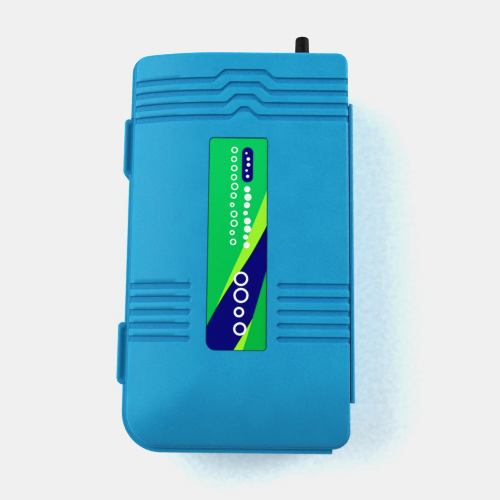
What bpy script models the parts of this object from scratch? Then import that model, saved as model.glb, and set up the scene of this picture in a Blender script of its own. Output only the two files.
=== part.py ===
"""Portable battery air pump for aquariums: hinged case, two D cells, motor driven diaphragm pump.

The case lies on its back: +Z points out of the lid, +Y towards the end with the air outlet and +X towards
the hinge. The origin is the middle of the flat back. Lengths below are in millimetres, and UNIT turns them
into metres where a mesh is made.
"""

import math

import bmesh
import bpy
from mathutils import Matrix, Vector

UNIT = 0.001

# Case ------------------------------------------------------------------------------------------------
HALF_WIDTH = 45.0  # of the lid's lip
LOW_END, HIGH_END = -80.0, 82.1  # of the lid's lip; the outlet is at the high end
CASE_BOX = (-HALF_WIDTH, HALF_WIDTH, LOW_END, HIGH_END)
CASE_RADII = (14.0, 7.0, 5.0, 6.5)  # lower left, lower right, upper right, upper left
CORNER_STEPS = 6
GAP = 0.3  # between touching pieces
OUT_OF_CASE = 60.0  # beyond the case in x and in z, where cutters may end
PAST_ENDS = 10.0  # how far cutters reach past either side of an end wall
WALL = 2.0
BASE_HEIGHT = 32.0
BACK_ROUND = 3.0  # radius of the edge around the back
BASE_INSET_LOW = 1.9  # the base's walls stand this far inside the lip outline at the back ...
BASE_INSET_HIGH = 0.8  # ... and this far at the mouth
RIM_BOX = (-HALF_WIDTH - 1.4, HALF_WIDTH - 7.0, LOW_END - 2.0, HIGH_END + 0.8)
RIM_RADII = (16.0, 0.6, 0.6, 7.9)
RIM_HEIGHT = 2.0
RIM_LOW = BASE_HEIGHT - RIM_HEIGHT

# Lid -------------------------------------------------------------------------------------------------
LID_LOW = BASE_HEIGHT + GAP
LID_TOP = 42.0
LIP_TOP = LID_LOW + 1.1
LIP_STEP = 0.7  # how far the lip stands proud of the lid's wall
DRAFT = 0.25  # how much the lid's wall leans in per millimetre of height
END_RELIEF = 0.9  # share of that lean which the wall at the high end leaves out
TOP_ROUND = 2.4
CROWN_START = -7.5  # left of here the lid's face curves down
CROWN_RADIUS = 100.0
LOW_CROWN_START = -47.5  # and below here it curves down to the low end
LOW_CROWN_RADIUS = 70.0
CROWN_STEPS = 14
LID_THICK = 1.7
TONGUE_INSET = 3.5  # the lid's tongue fits inside the base's mouth
TONGUE_WALL = 1.2
TONGUE_LOW = BASE_HEIGHT - 3.0
GROOVE_DEPTH = 0.9
GROOVE_WIDTH = 2.5
GROOVE_PITCH = 5.27
CHEVRON_FIRST = 52.75  # middle of the lowest of the four upper grooves
CHEVRON_COUNT = 4
CHEVRON_CENTRE = 1.5
CHEVRON_RISE = 3.45
CHEVRON_RUN = 3.8
CHEVRON_FLAT = 4.2  # flat length at the top of the lowest chevron ...
CHEVRON_GROWTH = 4.6  # ... and what each next one adds
BAR_CENTRE = -26.8  # middle of the five side grooves
BAR_COUNT = 5
BAR_ENDS = (-18.8, 15.2)  # inner ends of the left and right side grooves
LABEL_BOX = (-12.4, 11.0, -41.4, 44.1)
LABEL_RADII = (3.6, 1.2, 1.3, 1.6)
LABEL_RECESS = 0.5
LABEL_THICK = 0.2

# Hinge and latches -----------------------------------------------------------------------------------
HINGE_X = HALF_WIDTH + 0.4
HINGE_Z = BASE_HEIGHT + GAP / 2
HINGE_HALF_LENGTH = 62.0
WEB_THICK = 0.5
WEB_RADIUS = 1.7
WEB_Z = HINGE_Z - 0.5
LATCH_Y = 43.0
LATCH_HALF_LENGTH = 12.7
LUG_THICK = 3.2
LUG_ROUND = 2.2
LUG_ROOT_X = -43.0  # the lugs' sides start here, inside the wall
LUG_FOOT = 5.5  # how far the lugs reach below the pin
LATCH_OUTER_X = -49.5
LATCH_PIN = (-47.2, 19.5)
LATCH_PIN_RADIUS = 0.9
LATCH_PIN_HOLE = 1.0
PIN_COVER = 1.2  # what is left of a lug outside the blind hole for the pin
LATCH_RADII = (3.0, 0.5, 0.5, 1.8)  # corners of the latch's head and of its lugs, seen from above
HEAD_INNER_X = -44.9
HEAD_LOW, HEAD_TOP = 25.7, 29.4
HOLLOW_DEPTH = 1.0  # the head's top slopes down to a hollow this deep ...
RIDGE = 1.2  # ... inside a ridge this wide
HOLLOW_RADII = (2.4, 2.4, 2.4, 2.4)
KNUCKLE_RADIUS = 2.3
LUG_TOP = 25.0
RIM_NOTCH_HALF = 12.2
NOSE_HALF = 6.5  # half length of the latch's nose, which reaches through the wall towards the keeper
NOSE_ROOM = 0.7  # beside the nose, in the wall and in the keeper
NOSE_TIP_X = -41.9
NOTCH_LOW = 28.3  # bottom of the notch in the base's mouth and of the window in the keeper
KEEPER_HALF = 9.5
KEEPER_LOW = 26.3
KEEPER_WINDOW_TOP = 31.0

# Outlet, switch and vent, all in the upper end wall --------------------------------------------------
NOZZLE_X, NOZZLE_Z = 26.2, 24.0
NOZZLE_TIP = 94.4
NOZZLE_HOLE = 3.2
SWITCH_X, SWITCH_Z = -22.0, 16.0
SWITCH_TRAVEL = 4.0
SWITCH_SCREW = 9.5  # from the switch's middle to each of its screws
SWITCH_HOLE = 1.1
SWITCH_TAB_Y = HIGH_END - 13.5  # end of the switch's two solder tabs
VENT_X, VENT_Z, VENT_PITCH = 2.0, 16.0, 4.0
VENT_HALF = 5.5

# Batteries -------------------------------------------------------------------------------------------
CELL_RADIUS = 16.6
CELL_X, CELL_Z = 17.4, 20.3
CELL_BODY = 59.4
NUB_LENGTH, NUB_RADIUS = 1.5, 4.7
TRAY_BOX = (-38.0, 38.0, -73.9, -1.8)
TRAY_RADII = (10.0, 3.0, 1.0, 1.0)
TRAY_END = 2.8
TRAY_FLOOR = 2.3
TRAY_SIDE_TOP = 14.0
LOW_PLATE_Y = -70.8  # inner faces of the two ends of the bay
HIGH_PLATE_Y = -5.0
PLATE_THICK = 0.5
TAB_END = -0.3  # the contacts' solder tabs reach through the tray's end to here
SPRING_LENGTH = 3.0
SPRING_WIRE = 0.45

# Mechanism -------------------------------------------------------------------------------------------
COVER_BOX = (-39.0, 39.0, -2.6, HIGH_END - 5.4)
COVER_LOW, COVER_TOP = 30.5, 32.2
BOSS_SPOTS = ((-35.0, 3.4), (35.0, 3.4), (-35.0, 68.5), (35.0, 68.5))
BOSS_RADIUS = 3.2
BOSS_HOLE_LOW = 17.0
SCREW_HOLE = 1.2
MOTOR_Y, MOTOR_Z = 28.0, 15.5
MOTOR_RADIUS = 10.5
MOTOR_BACK, MOTOR_FRONT = -34.0, -8.0
SHAFT_RADIUS, SHAFT_BORE, SHAFT_END = 0.95, 1.05, 2.4
SLEEVE = (-29.0, -14.0)
ARM_X = (-3.3, 0.9)
THROW = 0.6
BEARING_RADIUS = 5.0
PIVOT_Y, PIVOT_RADIUS = 6.0, 1.0
HEAD_Y = 54.0
HEAD_X = (ARM_X[0] + ARM_X[1]) / 2
HEAD_RADIUS = 13.0
PORT_Z, PORT_BORE = 5.2, 0.8
FLAP_REACH = 5.0  # from the head's middle to each valve
HEAD_SCREW_REACH = 11.0

AXES = {"X": (1, 2, 0), "Y": (0, 2, 1), "Z": (0, 1, 2)}


# Building blocks -------------------------------------------------------------------------------------
def material(name, colour, roughness, metallic=0.0):
    """A plain Principled material."""
    made = bpy.data.materials.new(name)
    made.use_nodes = True
    shader = made.node_tree.nodes["Principled BSDF"]
    shader.inputs["Base Color"].default_value = (*colour, 1.0)
    shader.inputs["Roughness"].default_value = roughness
    shader.inputs["Metallic"].default_value = metallic
    made.diffuse_color = (*colour, 1.0)
    return made


def make(name, points, faces, finish):
    """One object from points in millimetres, with its faces turned outwards."""
    mesh = bpy.data.meshes.new(name)
    mesh.from_pydata([[value * UNIT for value in point] for point in points], [], faces)
    shape = bmesh.new()
    shape.from_mesh(mesh)
    bmesh.ops.recalc_face_normals(shape, faces=shape.faces)
    shape.to_mesh(mesh)
    shape.free()
    made = bpy.data.objects.new(name, mesh)
    bpy.context.scene.collection.objects.link(made)
    made.data.materials.append(finish)
    return made


def loft(name, rings, finish, closed=False):
    """A skin over rings of equal point count: capped at both ends, or joined end to end when closed."""
    count = len(rings[0])
    points = [point for ring in rings for point in ring]
    faces = []
    for low in range(len(rings) if closed else len(rings) - 1):
        high = (low + 1) % len(rings)
        for i in range(count):
            j = (i + 1) % count
            faces.append((low * count + i, low * count + j, high * count + j, high * count + i))
    if not closed:
        faces.append(tuple(range(count)))
        faces.append(tuple(range(len(points) - count, len(points))))
    return make(name, points, faces, finish)


def placed(first, second, along, axis):
    """A point from its two coordinates across an axis and the one along it."""
    spot = [0.0, 0.0, 0.0]
    for place, value in zip(AXES[axis], (first, second, along)):
        spot[place] = value
    return tuple(spot)


def prism(name, outline, axis, start, end, finish):
    """An outline extruded along X, Y or Z."""
    rings = [[placed(a, b, along, axis) for a, b in outline] for along in (start, end)]
    return loft(name, rings, finish)


def block(name, low, high, finish):
    """A rectangular block between two corners."""
    outline = [(low[0], low[1]), (high[0], low[1]), (high[0], high[1]), (low[0], high[1])]
    return prism(name, outline, "Z", low[2], high[2], finish)


def turned(name, profile, centre, axis, finish, segments=24, bored=False):
    """A profile of (radius, along) points turned about an axis through centre. Bored profiles are loops."""
    rings = []
    for radius, along in profile:
        ring = []
        for i in range(segments):
            angle = math.tau * i / segments
            across = (centre[0] + radius * math.cos(angle), centre[1] + radius * math.sin(angle))
            ring.append(placed(*across, along, axis))
        rings.append(ring)
    return smooth(loft(name, rings, finish, closed=bored))


def smooth(piece):
    """Smooth shading with the real edges kept sharp."""
    piece.data.shade_smooth()
    piece.data.set_sharp_from_angle(angle=math.radians(35))
    return piece


def arc(centre, radius, start, end, steps):
    """Points on an arc, in degrees from start to end."""
    angles = [math.radians(start + (end - start) * i / steps) for i in range(steps + 1)]
    return [(centre[0] + radius * math.cos(a), centre[1] + radius * math.sin(a)) for a in angles]


def rounded(box, radii, inset=0.0, steps=CORNER_STEPS):
    """A rectangle whose corners have their own radii, counter-clockwise from the lower left."""
    x0, x1, y0, y1 = (box[0] + inset, box[1] - inset, box[2] + inset, box[3] - inset)
    r = [max(radius - inset, 0.4) for radius in radii]
    return (
        arc((x0 + r[0], y0 + r[0]), r[0], 180, 270, steps)
        + arc((x1 - r[1], y0 + r[1]), r[1], 270, 360, steps)
        + arc((x1 - r[2], y1 - r[2]), r[2], 0, 90, steps)
        + arc((x0 + r[3], y1 - r[3]), r[3], 90, 180, steps)
    )


def case_ring(inset, z):
    """The case's outline, drawn in by inset, at one height."""
    return [(x, y, z) for x, y in rounded(CASE_BOX, CASE_RADII, inset)]


def combine(target, tool, operation="DIFFERENCE"):
    """A Boolean of two objects, kept in the first. The second is used up."""
    modifier = target.modifiers.new(operation, "BOOLEAN")
    modifier.object = tool
    modifier.operation = operation
    modifier.solver = "EXACT"
    graph = bpy.context.evaluated_depsgraph_get()
    result = bpy.data.meshes.new_from_object(target.evaluated_get(graph))
    target.modifiers.clear()
    target.data = result
    bpy.data.objects.remove(tool)
    return target


def drill(target, radius, centre, axis, start, end, segments=16):
    """A round hole."""
    profile = [(radius, start), (radius, end)]
    return combine(target, turned("drill", profile, centre, axis, target.data.materials[0], segments))


def mill(target, low, high):
    """A rectangular hole between two corners."""
    return combine(target, block("mill", low, high, target.data.materials[0]))


def bezier(ends, steps):
    """Points on a cubic curve through four control points."""
    points = []
    for i in range(steps + 1):
        t = i / steps
        weights = ((1 - t) ** 3, 3 * t * (1 - t) ** 2, 3 * t * t * (1 - t), t**3)
        points.append(sum((w * Vector(p) for w, p in zip(weights, ends)), Vector()))
    return points


def through(route, steps):
    """A smooth curve through a route's own points, with several steps between each pair."""
    knots = [Vector(p) for p in route]
    knots = [2 * knots[0] - knots[1]] + knots + [2 * knots[-1] - knots[-2]]
    points = []
    for a, b, c, d in zip(knots, knots[1:], knots[2:], knots[3:]):
        for i in range(steps):
            t = i / steps
            square, cube = 2 * a - 5 * b + 4 * c - d, 3 * b - a - 3 * c + d
            points.append(0.5 * (2 * b + (c - a) * t + square * t**2 + cube * t**3))
    return points + [knots[-2]]


def swept(name, points, radius, finish, sides=8, bore=None):
    """A round tube along points, solid or with a bore. The section is carried along without twist."""
    before, after = [points[0]] + points[:-1], points[1:] + [points[-1]]
    tangents = [(b - a).normalized() for a, b in zip(before, after)]
    tangents[0] = (points[1] - points[0]).normalized()
    normal = tangents[0].orthogonal().normalized()
    outer, inner = [], []
    for spot, tangent in zip(points, tangents):
        normal = (normal - tangent * normal.dot(tangent)).normalized()
        side = tangent.cross(normal)
        for ring, size in ((outer, radius), (inner, bore or radius)):
            turns = [math.tau * i / sides for i in range(sides)]
            ring.append([tuple(spot + size * (normal * math.cos(a) + side * math.sin(a))) for a in turns])
    if bore is None:
        return smooth(loft(name, outer, finish))
    return smooth(loft(name, outer + inner[::-1], finish, closed=True))


def screw(name, spot, axis, head_face, tip, finish, head=(2.3, 1.3), shank=1.0, turn=1):
    """A pan head screw: head_face is where the head bears, and turn is which way the head stands off."""
    radius, height = head
    profile = [
        (shank * 0.5, tip),
        (shank, tip + turn * 0.8),
        (shank, head_face),
        (radius, head_face),
        (radius, head_face + turn * height * 0.55),
        (radius * 0.7, head_face + turn * height),
    ]
    made = turned(name, profile, spot, axis, finish, 12)
    top = head_face + turn * height
    slot_low, slot_high = sorted((top - turn * 0.6, top + turn))
    for half in ((radius * 0.55, 0.25), (0.25, radius * 0.55)):
        low = placed(spot[0] - half[0], spot[1] - half[1], slot_low, axis)
        high = placed(spot[0] + half[0], spot[1] + half[1], slot_high, axis)
        made = mill(made, low, high)
    return smooth(made)


# Case ------------------------------------------------------------------------------------------------
def inset_at(z):
    """How far the base's outer wall stands inside the lip outline at one height."""
    share = (z - BACK_ROUND) / (BASE_HEIGHT - BACK_ROUND)
    return BASE_INSET_LOW + (BASE_INSET_HIGH - BASE_INSET_LOW) * share


def lug_side(top):
    """Side outline of a latch's lugs: from the wall, over the top, down and round the pin."""
    x, z = LATCH_PIN
    over = arc((LATCH_OUTER_X + LUG_ROUND, top - LUG_ROUND), LUG_ROUND, 90, 180, 4)
    under = arc((x, z), KNUCKLE_RADIUS, 180, 270, 4)
    return [(LUG_ROOT_X, top)] + over + under + [(LUG_ROOT_X, z - LUG_FOOT)]


def lug_pair(centre_y, finish):
    """The two ears that hold one latch, in one piece before the latch's bay is cut."""
    ends = (centre_y - LATCH_HALF_LENGTH, centre_y + LATCH_HALF_LENGTH)
    pair = prism("lugs", lug_side(LUG_TOP), "Y", *ends, finish)
    plan = rounded((LATCH_OUTER_X, 0.0, *ends), LATCH_RADII)
    pair = combine(pair, prism("plan", plan, "Z", 0, OUT_OF_CASE, finish), "INTERSECT")
    bay = LATCH_HALF_LENGTH - LUG_THICK
    mill(pair, (-OUT_OF_CASE, centre_y - bay, 0), (inner_wall_x(), centre_y + bay, OUT_OF_CASE))
    drill(pair, LATCH_PIN_HOLE, LATCH_PIN, "Y", ends[0] + PIN_COVER, ends[1] - PIN_COVER)
    return pair


def inner_wall_x():
    """Just inside the left wall's outer face, so that what joins the wall overlaps it."""
    return -HALF_WIDTH + BASE_INSET_LOW + 0.6


def base_shell(finish):
    """The deep half of the case, with its rim, latch ears, bosses and the openings in its end wall."""
    rings = []
    for i in range(5):
        angle = math.pi / 2 * i / 4
        inset = BASE_INSET_LOW + BACK_ROUND * (1 - math.sin(angle))
        rings.append(case_ring(inset, BACK_ROUND * (1 - math.cos(angle))))
    rings.append(case_ring(BASE_INSET_HIGH, BASE_HEIGHT))
    shell = loft("base_shell", rings, finish)

    rim = prism("rim", rounded(RIM_BOX, RIM_RADII), "Z", RIM_LOW, BASE_HEIGHT, finish)
    for sign in (-1, 1):
        y = sign * LATCH_Y
        high = (inner_wall_x(), y + RIM_NOTCH_HALF, OUT_OF_CASE)
        mill(rim, (-OUT_OF_CASE, y - RIM_NOTCH_HALF, 0), high)
    combine(shell, rim, "UNION")
    for sign in (-1, 1):
        combine(shell, lug_pair(sign * LATCH_Y, finish), "UNION")

    cavity = [case_ring(inset_at(z) + WALL, z) for z in (WALL, BASE_HEIGHT + 2)]
    combine(shell, loft("cavity", cavity, finish))

    profile = [(BOSS_RADIUS, WALL / 2), (BOSS_RADIUS, COVER_LOW - GAP)]
    for spot in BOSS_SPOTS:
        combine(shell, turned("boss", profile, spot, "Z", finish, 16), "UNION")
        drill(shell, SCREW_HOLE, spot, "Z", BOSS_HOLE_LOW, BASE_HEIGHT, 12)

    for sign in (-1, 1):
        y, half = sign * LATCH_Y, NOSE_HALF + NOSE_ROOM
        high = (inner_wall_x() + WALL, y + half, OUT_OF_CASE)
        mill(shell, (-HALF_WIDTH, y - half, NOTCH_LOW), high)

    inside, outside = HIGH_END - PAST_ENDS, HIGH_END + PAST_ENDS
    drill(shell, NOZZLE_HOLE, (NOZZLE_X, NOZZLE_Z), "Y", inside, outside)
    window = (SWITCH_TRAVEL / 2 + 2.6, 2.1)
    low = (SWITCH_X - window[0], inside, SWITCH_Z - window[1])
    mill(shell, low, (SWITCH_X + window[0], outside, SWITCH_Z + window[1]))
    for side in (-1, 1):
        drill(shell, SWITCH_HOLE, (SWITCH_X + side * SWITCH_SCREW, SWITCH_Z), "Y", inside, outside, 12)
    for row in (-1, 0, 1):
        z = VENT_Z + row * VENT_PITCH
        mill(shell, (VENT_X - VENT_HALF, inside, z - 0.7), (VENT_X + VENT_HALF, outside, z + 0.7))
    return smooth(shell)


def under_crown(name, drop, finish):
    """Everything below the lid's face, which is flat but curves down to the left and to the low end."""
    def curve(start, radius, edge):
        shrunk = radius - drop
        reach = math.degrees(math.asin((start - edge) / shrunk))
        return arc((start, LID_TOP - radius + 0.02), shrunk, 90, 90 + reach, CROWN_STEPS)

    far, floor, low, high = OUT_OF_CASE, 20.0, LOW_END - 5, HIGH_END + 15
    across = curve(CROWN_START, CROWN_RADIUS, -HALF_WIDTH - 6)
    outline = [(across[-1][0], floor), (far, floor), (far, across[0][1])] + across
    tool = prism(name, outline, "Y", low, high, finish)
    along = curve(LOW_CROWN_START, LOW_CROWN_RADIUS, low)
    outline = [(low, floor), (high, floor), (high, along[0][1])] + along
    return combine(tool, prism("end", outline, "X", -far, far, finish), "INTERSECT")


def lid_block(name, drop, finish):
    """The lid's outer form above the lip, drawn in by drop on every side."""
    wall_low = LIP_STEP + drop
    shoulder = LID_TOP - drop - TOP_ROUND
    inset = wall_low + DRAFT * (shoulder - LIP_TOP)

    def ring(place, z):
        relief = END_RELIEF * (min(place, inset) - wall_low)
        box = (*CASE_BOX[:3], HIGH_END + relief)
        return [(x, y, z) for x, y in rounded(box, CASE_RADII, place)]

    rings = [ring(wall_low, LID_LOW - 1), ring(wall_low, LIP_TOP), ring(inset, shoulder)]
    for i in (1, 2, 3):
        angle = math.pi / 2 * i / 3
        along = inset + TOP_ROUND * (1 - math.cos(angle)) + 0.3 * i
        rings.append(ring(along, shoulder + TOP_ROUND * math.sin(angle)))
    form = loft(name, rings, finish)
    return combine(form, under_crown("crown", drop, finish), "INTERSECT")


def chevron(index):
    """Plan outline of one upper groove, which steps up and over in the middle."""
    y = CHEVRON_FIRST + GROOVE_PITCH * index
    half = (CHEVRON_FLAT + CHEVRON_GROWTH * index) / 2
    path = [
        (-OUT_OF_CASE, y),
        (CHEVRON_CENTRE - half - CHEVRON_RUN, y),
        (CHEVRON_CENTRE - half, y + CHEVRON_RISE),
        (CHEVRON_CENTRE + half, y + CHEVRON_RISE),
        (CHEVRON_CENTRE + half + CHEVRON_RUN, y),
        (OUT_OF_CASE, y),
    ]
    shift = GROOVE_WIDTH / 2
    slant = shift * math.tan(math.atan2(CHEVRON_RISE, CHEVRON_RUN) / 2)
    bends = (0, slant, slant, -slant, -slant, 0)
    upper = [(x - bend, y + shift) for (x, y), bend in zip(path, bends)]
    lower = [(x + bend, y - shift) for (x, y), bend in zip(path, bends)]
    return lower + upper[::-1]


def bar(index, side):
    """Plan outline of one side groove, round at its inner end and open at the lid's edge."""
    y = BAR_CENTRE + GROOVE_PITCH * (index - (BAR_COUNT - 1) / 2)
    radius = GROOVE_WIDTH / 2
    if side < 0:
        tip = arc((BAR_ENDS[0] - radius, y), radius, -90, 90, 6)
        return [(-OUT_OF_CASE, y - radius)] + tip + [(-OUT_OF_CASE, y + radius)]
    tip = arc((BAR_ENDS[1] + radius, y), radius, 90, 270, 6)
    return [(OUT_OF_CASE, y + radius)] + tip + [(OUT_OF_CASE, y - radius)]


def groove_tool(finish):
    """All the grooves as one cutter that stops at the groove depth below the lid's surface."""
    outlines = [chevron(i) for i in range(CHEVRON_COUNT)]
    outlines += [bar(i, side) for i in range(BAR_COUNT) for side in (-1, 1)]
    points, faces = [], []
    for outline in outlines:
        count, first = len(outline), len(points)
        points += [(x, y, z) for z in (LIP_TOP + 0.15, OUT_OF_CASE) for x, y in outline]
        faces += [tuple(first + i for i in range(count)), tuple(first + count + i for i in range(count))]
        for i in range(count):
            j = (i + 1) % count
            faces.append((first + i, first + j, first + count + j, first + count + i))
    tool = make("grooves", points, faces, finish)
    return combine(tool, lid_block("core", GROOVE_DEPTH, finish))


def lid_shell(finish):
    """The lid: lip, leaning wall, crowned face, grooves, label recess and the tongue for the base."""
    shell = lid_block("lid_shell", 0.0, finish)
    lip = loft("lip", [case_ring(0.0, LID_LOW), case_ring(0.0, LIP_TOP)], finish)
    combine(shell, lip, "UNION")
    low, high = (-OUT_OF_CASE, LOW_END - PAST_ENDS, 0), (OUT_OF_CASE, HIGH_END + PAST_ENDS, LID_LOW)
    mill(shell, low, high)
    rings = [case_ring(TONGUE_INSET, TONGUE_LOW), case_ring(TONGUE_INSET, LID_LOW + 1.5)]
    tongue = loft("tongue", rings, finish)
    combine(shell, tongue, "UNION")

    inner = TONGUE_INSET + TONGUE_WALL
    rings = [case_ring(inner, 20), case_ring(inner, LID_LOW + 0.6), case_ring(3.1, LID_LOW + 1.6)]
    rings += [case_ring(4.0, 38.2), case_ring(5.2, LID_TOP - WALL / 2)]
    cavity = combine(loft("cavity", rings, finish), under_crown("crown", LID_THICK, finish), "INTERSECT")
    combine(shell, cavity)
    outer = -HALF_WIDTH + TONGUE_INSET
    for y in (-LATCH_Y, LATCH_Y):
        low, high = (outer, y - KEEPER_HALF, KEEPER_LOW), (outer + TONGUE_WALL, y + KEEPER_HALF, LID_LOW)
        combine(shell, block("keeper", low, high, finish), "UNION")
        half = NOSE_HALF + NOSE_ROOM
        mill(shell, (outer - 1, y - half, NOTCH_LOW), (outer + TONGUE_WALL + 1, y + half, KEEPER_WINDOW_TOP))
    combine(shell, groove_tool(finish))
    recess = rounded(LABEL_BOX, LABEL_RADII, -0.3)
    combine(shell, prism("recess", recess, "Z", LID_TOP - LABEL_RECESS, OUT_OF_CASE, finish))
    return smooth(shell)


def lid_label(finish):
    """The printed decal in the lid's recess."""
    low = LID_TOP - LABEL_RECESS + GAP
    return prism("lid_label", rounded(LABEL_BOX, LABEL_RADII), "Z", low, low + LABEL_THICK, finish)


def hinge_web(finish):
    """The thin folded strip that joins base and lid along the right side."""
    outer = arc((HINGE_X, WEB_Z), WEB_RADIUS, -90, 90, 8)
    inner = arc((HINGE_X, WEB_Z), WEB_RADIUS - WEB_THICK, 90, -90, 8)
    foot_x = HALF_WIDTH - BASE_INSET_HIGH + 0.25
    foot = [(foot_x, WEB_Z - WEB_RADIUS + WEB_THICK), (foot_x, WEB_Z - WEB_RADIUS)]
    outline = outer + inner + foot
    return smooth(prism("hinge_web", outline, "Y", -HINGE_HALF_LENGTH, HINGE_HALF_LENGTH, finish))


def latch(name, centre_y, finish):
    """A latch that swings on its pin: knuckle and plate between the lugs, a head over them and a nose."""
    half = LATCH_HALF_LENGTH - LUG_THICK - 0.2
    x, z = LATCH_PIN
    outline = [(LATCH_OUTER_X, HEAD_LOW + 1)] + arc((x, z), KNUCKLE_RADIUS, 180, 400, 12)
    outline += [(x + 0.2, z + 3.2), (x + 0.2, HEAD_LOW + 1)]
    body = prism(name, outline, "Y", centre_y - half, centre_y + half, finish)
    ends = (centre_y - LATCH_HALF_LENGTH, centre_y + LATCH_HALF_LENGTH)
    plan = rounded((LATCH_OUTER_X, HEAD_INNER_X, *ends), LATCH_RADII)
    combine(body, prism("head", plan, "Z", HEAD_LOW, HEAD_TOP, finish), "UNION")
    inside = (LATCH_OUTER_X + RIDGE, HEAD_INNER_X + 4, ends[0] + RIDGE, ends[1] - RIDGE)
    slope = ((2.0, HOLLOW_DEPTH), (0.8, 0.6), (0.0, 0.0), (0.0, -1.0))
    rings = [[(x, y, HEAD_TOP - z) for x, y in rounded(inside, HOLLOW_RADII, inset)] for inset, z in slope]
    combine(body, loft("hollow", rings, finish))
    nose = [(-46.5, 27.2), (HEAD_INNER_X, 27.9), (-43.4, 29.2), (NOSE_TIP_X, 28.7), (NOSE_TIP_X, 29.4)]
    nose += [(NOSE_TIP_X - 0.6, 30.2), (HEAD_INNER_X, 28.35), (-46.5, 28.1)]
    combine(body, prism("nose", nose, "Y", centre_y - NOSE_HALF, centre_y + NOSE_HALF, finish), "UNION")
    drill(body, LATCH_PIN_HOLE, LATCH_PIN, "Y", ends[0], ends[1])
    return smooth(body)


def latch_pin(name, centre_y, finish):
    """The steel pin that a latch swings on."""
    half = LATCH_HALF_LENGTH - PIN_COVER - GAP
    profile = [(LATCH_PIN_RADIUS, centre_y - half), (LATCH_PIN_RADIUS, centre_y + half)]
    return turned(name, profile, LATCH_PIN, "Y", finish, 16)


# Parts in the end wall -------------------------------------------------------------------------------
def outlet_parts(black, steel):
    """The air outlet: a tapered nozzle with a collar, its seal and the nut inside the wall."""
    bore, shank, wall = 1.1, 3.0, HIGH_END - 0.8
    barb, collar = HIGH_END - 15.0, HIGH_END
    profile = [
        (bore, barb),
        (1.6, barb),
        (1.9, barb + 1.4),
        (1.6, barb + 2.6),
        (1.6, barb + 6.8),
        (shank, barb + 6.8),
        (shank, collar),
        (4.6, collar),
        (4.6, collar + 1.6),
        (4.2, collar + 2.0),
        (3.35, collar + 2.2),
        (2.95, NOZZLE_TIP - 0.9),
        (2.7, NOZZLE_TIP - 0.3),
        (2.2, NOZZLE_TIP),
        (bore, NOZZLE_TIP),
    ]
    spot = (NOZZLE_X, NOZZLE_Z)
    turned("outlet_nozzle", profile, spot, "Y", black, 24, bored=True)
    ring = [(3.2, wall), (4.6, wall), (4.6, wall + 0.6), (3.2, wall + 0.6)]
    turned("nozzle_seal", ring, spot, "Y", black, 24, bored=True)
    hexagon = arc(spot, 5.0, 0, 300, 5)
    nut = prism("nozzle_nut", hexagon, "Y", HIGH_END - 6.6, HIGH_END - 3.6, steel)
    drill(nut, 3.15, spot, "Y", HIGH_END - PAST_ENDS, HIGH_END, 24)


def switch_parts(black, steel):
    """The slide switch behind the end wall, its knob and its two screws."""
    x, z = SWITCH_X, SWITCH_Z
    back, face = HIGH_END - 11.0, HIGH_END - 4.1
    body = block("switch_body", (x - 7, back - 2.3, z - 3.4), (x + 7, face - 0.9, z + 3.4), black)
    combine(body, block("flange", (x - 12.5, face - 1.3, z - 3.4), (x + 12.5, face, z + 3.4), black), "UNION")
    mill(body, (x - 4.4, face - 2.9, z - 1.9), (x + 4.4, HIGH_END, z + 1.9))
    for side in (-1, 1):
        drill(body, SWITCH_HOLE, (x + side * SWITCH_SCREW, z), "Y", back, HIGH_END, 12)
        middle = x + side * 3
        tab = block("tab", (middle - 0.9, SWITCH_TAB_Y, z - 0.3), (middle + 0.9, back, z + 0.3), black)
        combine(body, tab, "UNION")
    left, stem, top = x - SWITCH_TRAVEL / 2, HIGH_END - 2.3, HIGH_END + 0.9
    outline = [(left - 2.0, face - 2.6), (left + 2.0, face - 2.6), (left + 2.0, stem + 2.3)]
    outline += [(left + 1.4, top), (left - 1.4, top), (left - 2.0, stem + 2.3)]
    knob = prism("switch_knob", outline, "Z", z - 1.6, z + 1.6, black)
    for step in (-0.8, 0.8):
        mill(knob, (left + step - 0.25, top - 0.4, z - 3), (left + step + 0.25, top + 1, z + 3))
    for name, side in (("switch_screw_left", -1), ("switch_screw_right", 1)):
        spot = (x + side * SWITCH_SCREW, z)
        screw(name, spot, "Y", HIGH_END - 0.9, HIGH_END - 7.0, steel, head=(1.9, 1.0), shank=0.9)


def intake_filter(finish):
    """Felt pad behind the vent slots."""
    half = VENT_HALF + 2.0
    box = (VENT_X - half, VENT_X + half, VENT_Z - half + 1, VENT_Z + half - 1)
    outline = rounded(box, (1.5,) * 4, steps=3)
    return prism("intake_filter", outline, "Y", HIGH_END - 6.4, HIGH_END - 4.0, finish)


# Batteries -------------------------------------------------------------------------------------------
def cell(name, x, low, up, finish):
    """A D cell. low is the lower end of its body, and up is +1 with the nub towards +Y, else -1."""
    ends = (low, low + CELL_BODY)
    flat, nub = (ends if up > 0 else ends[::-1])
    profile = [
        (CELL_RADIUS - 2.4, flat),
        (CELL_RADIUS - 0.6, flat),
        (CELL_RADIUS, flat + up * 0.7),
        (CELL_RADIUS, nub - up * 1.0),
        (CELL_RADIUS - 0.9, nub),
        (NUB_RADIUS, nub),
        (NUB_RADIUS - 0.3, nub + up * (NUB_LENGTH - 0.3)),
        (NUB_RADIUS - 1.2, nub + up * NUB_LENGTH),
    ]
    return turned(name, profile, (x, CELL_Z), "Y", finish, 36)


def contact_spring(name, x, wide_y, turn, finish):
    """A conical coil. It starts at its wide end and narrows towards the cell."""
    turns, steps = 2.6, 34
    points = []
    for i in range(steps + 1):
        t = i / steps
        angle = math.tau * turns * t
        radius = 7.0 - 3.2 * t
        rise = SPRING_WIRE + (SPRING_LENGTH - 2 * SPRING_WIRE) * t
        across = (x + radius * math.cos(angle), CELL_Z + radius * math.sin(angle))
        points.append(Vector((across[0], wide_y + turn * rise, across[1])))
    return swept(name, points, SPRING_WIRE, finish, sides=6)


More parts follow.
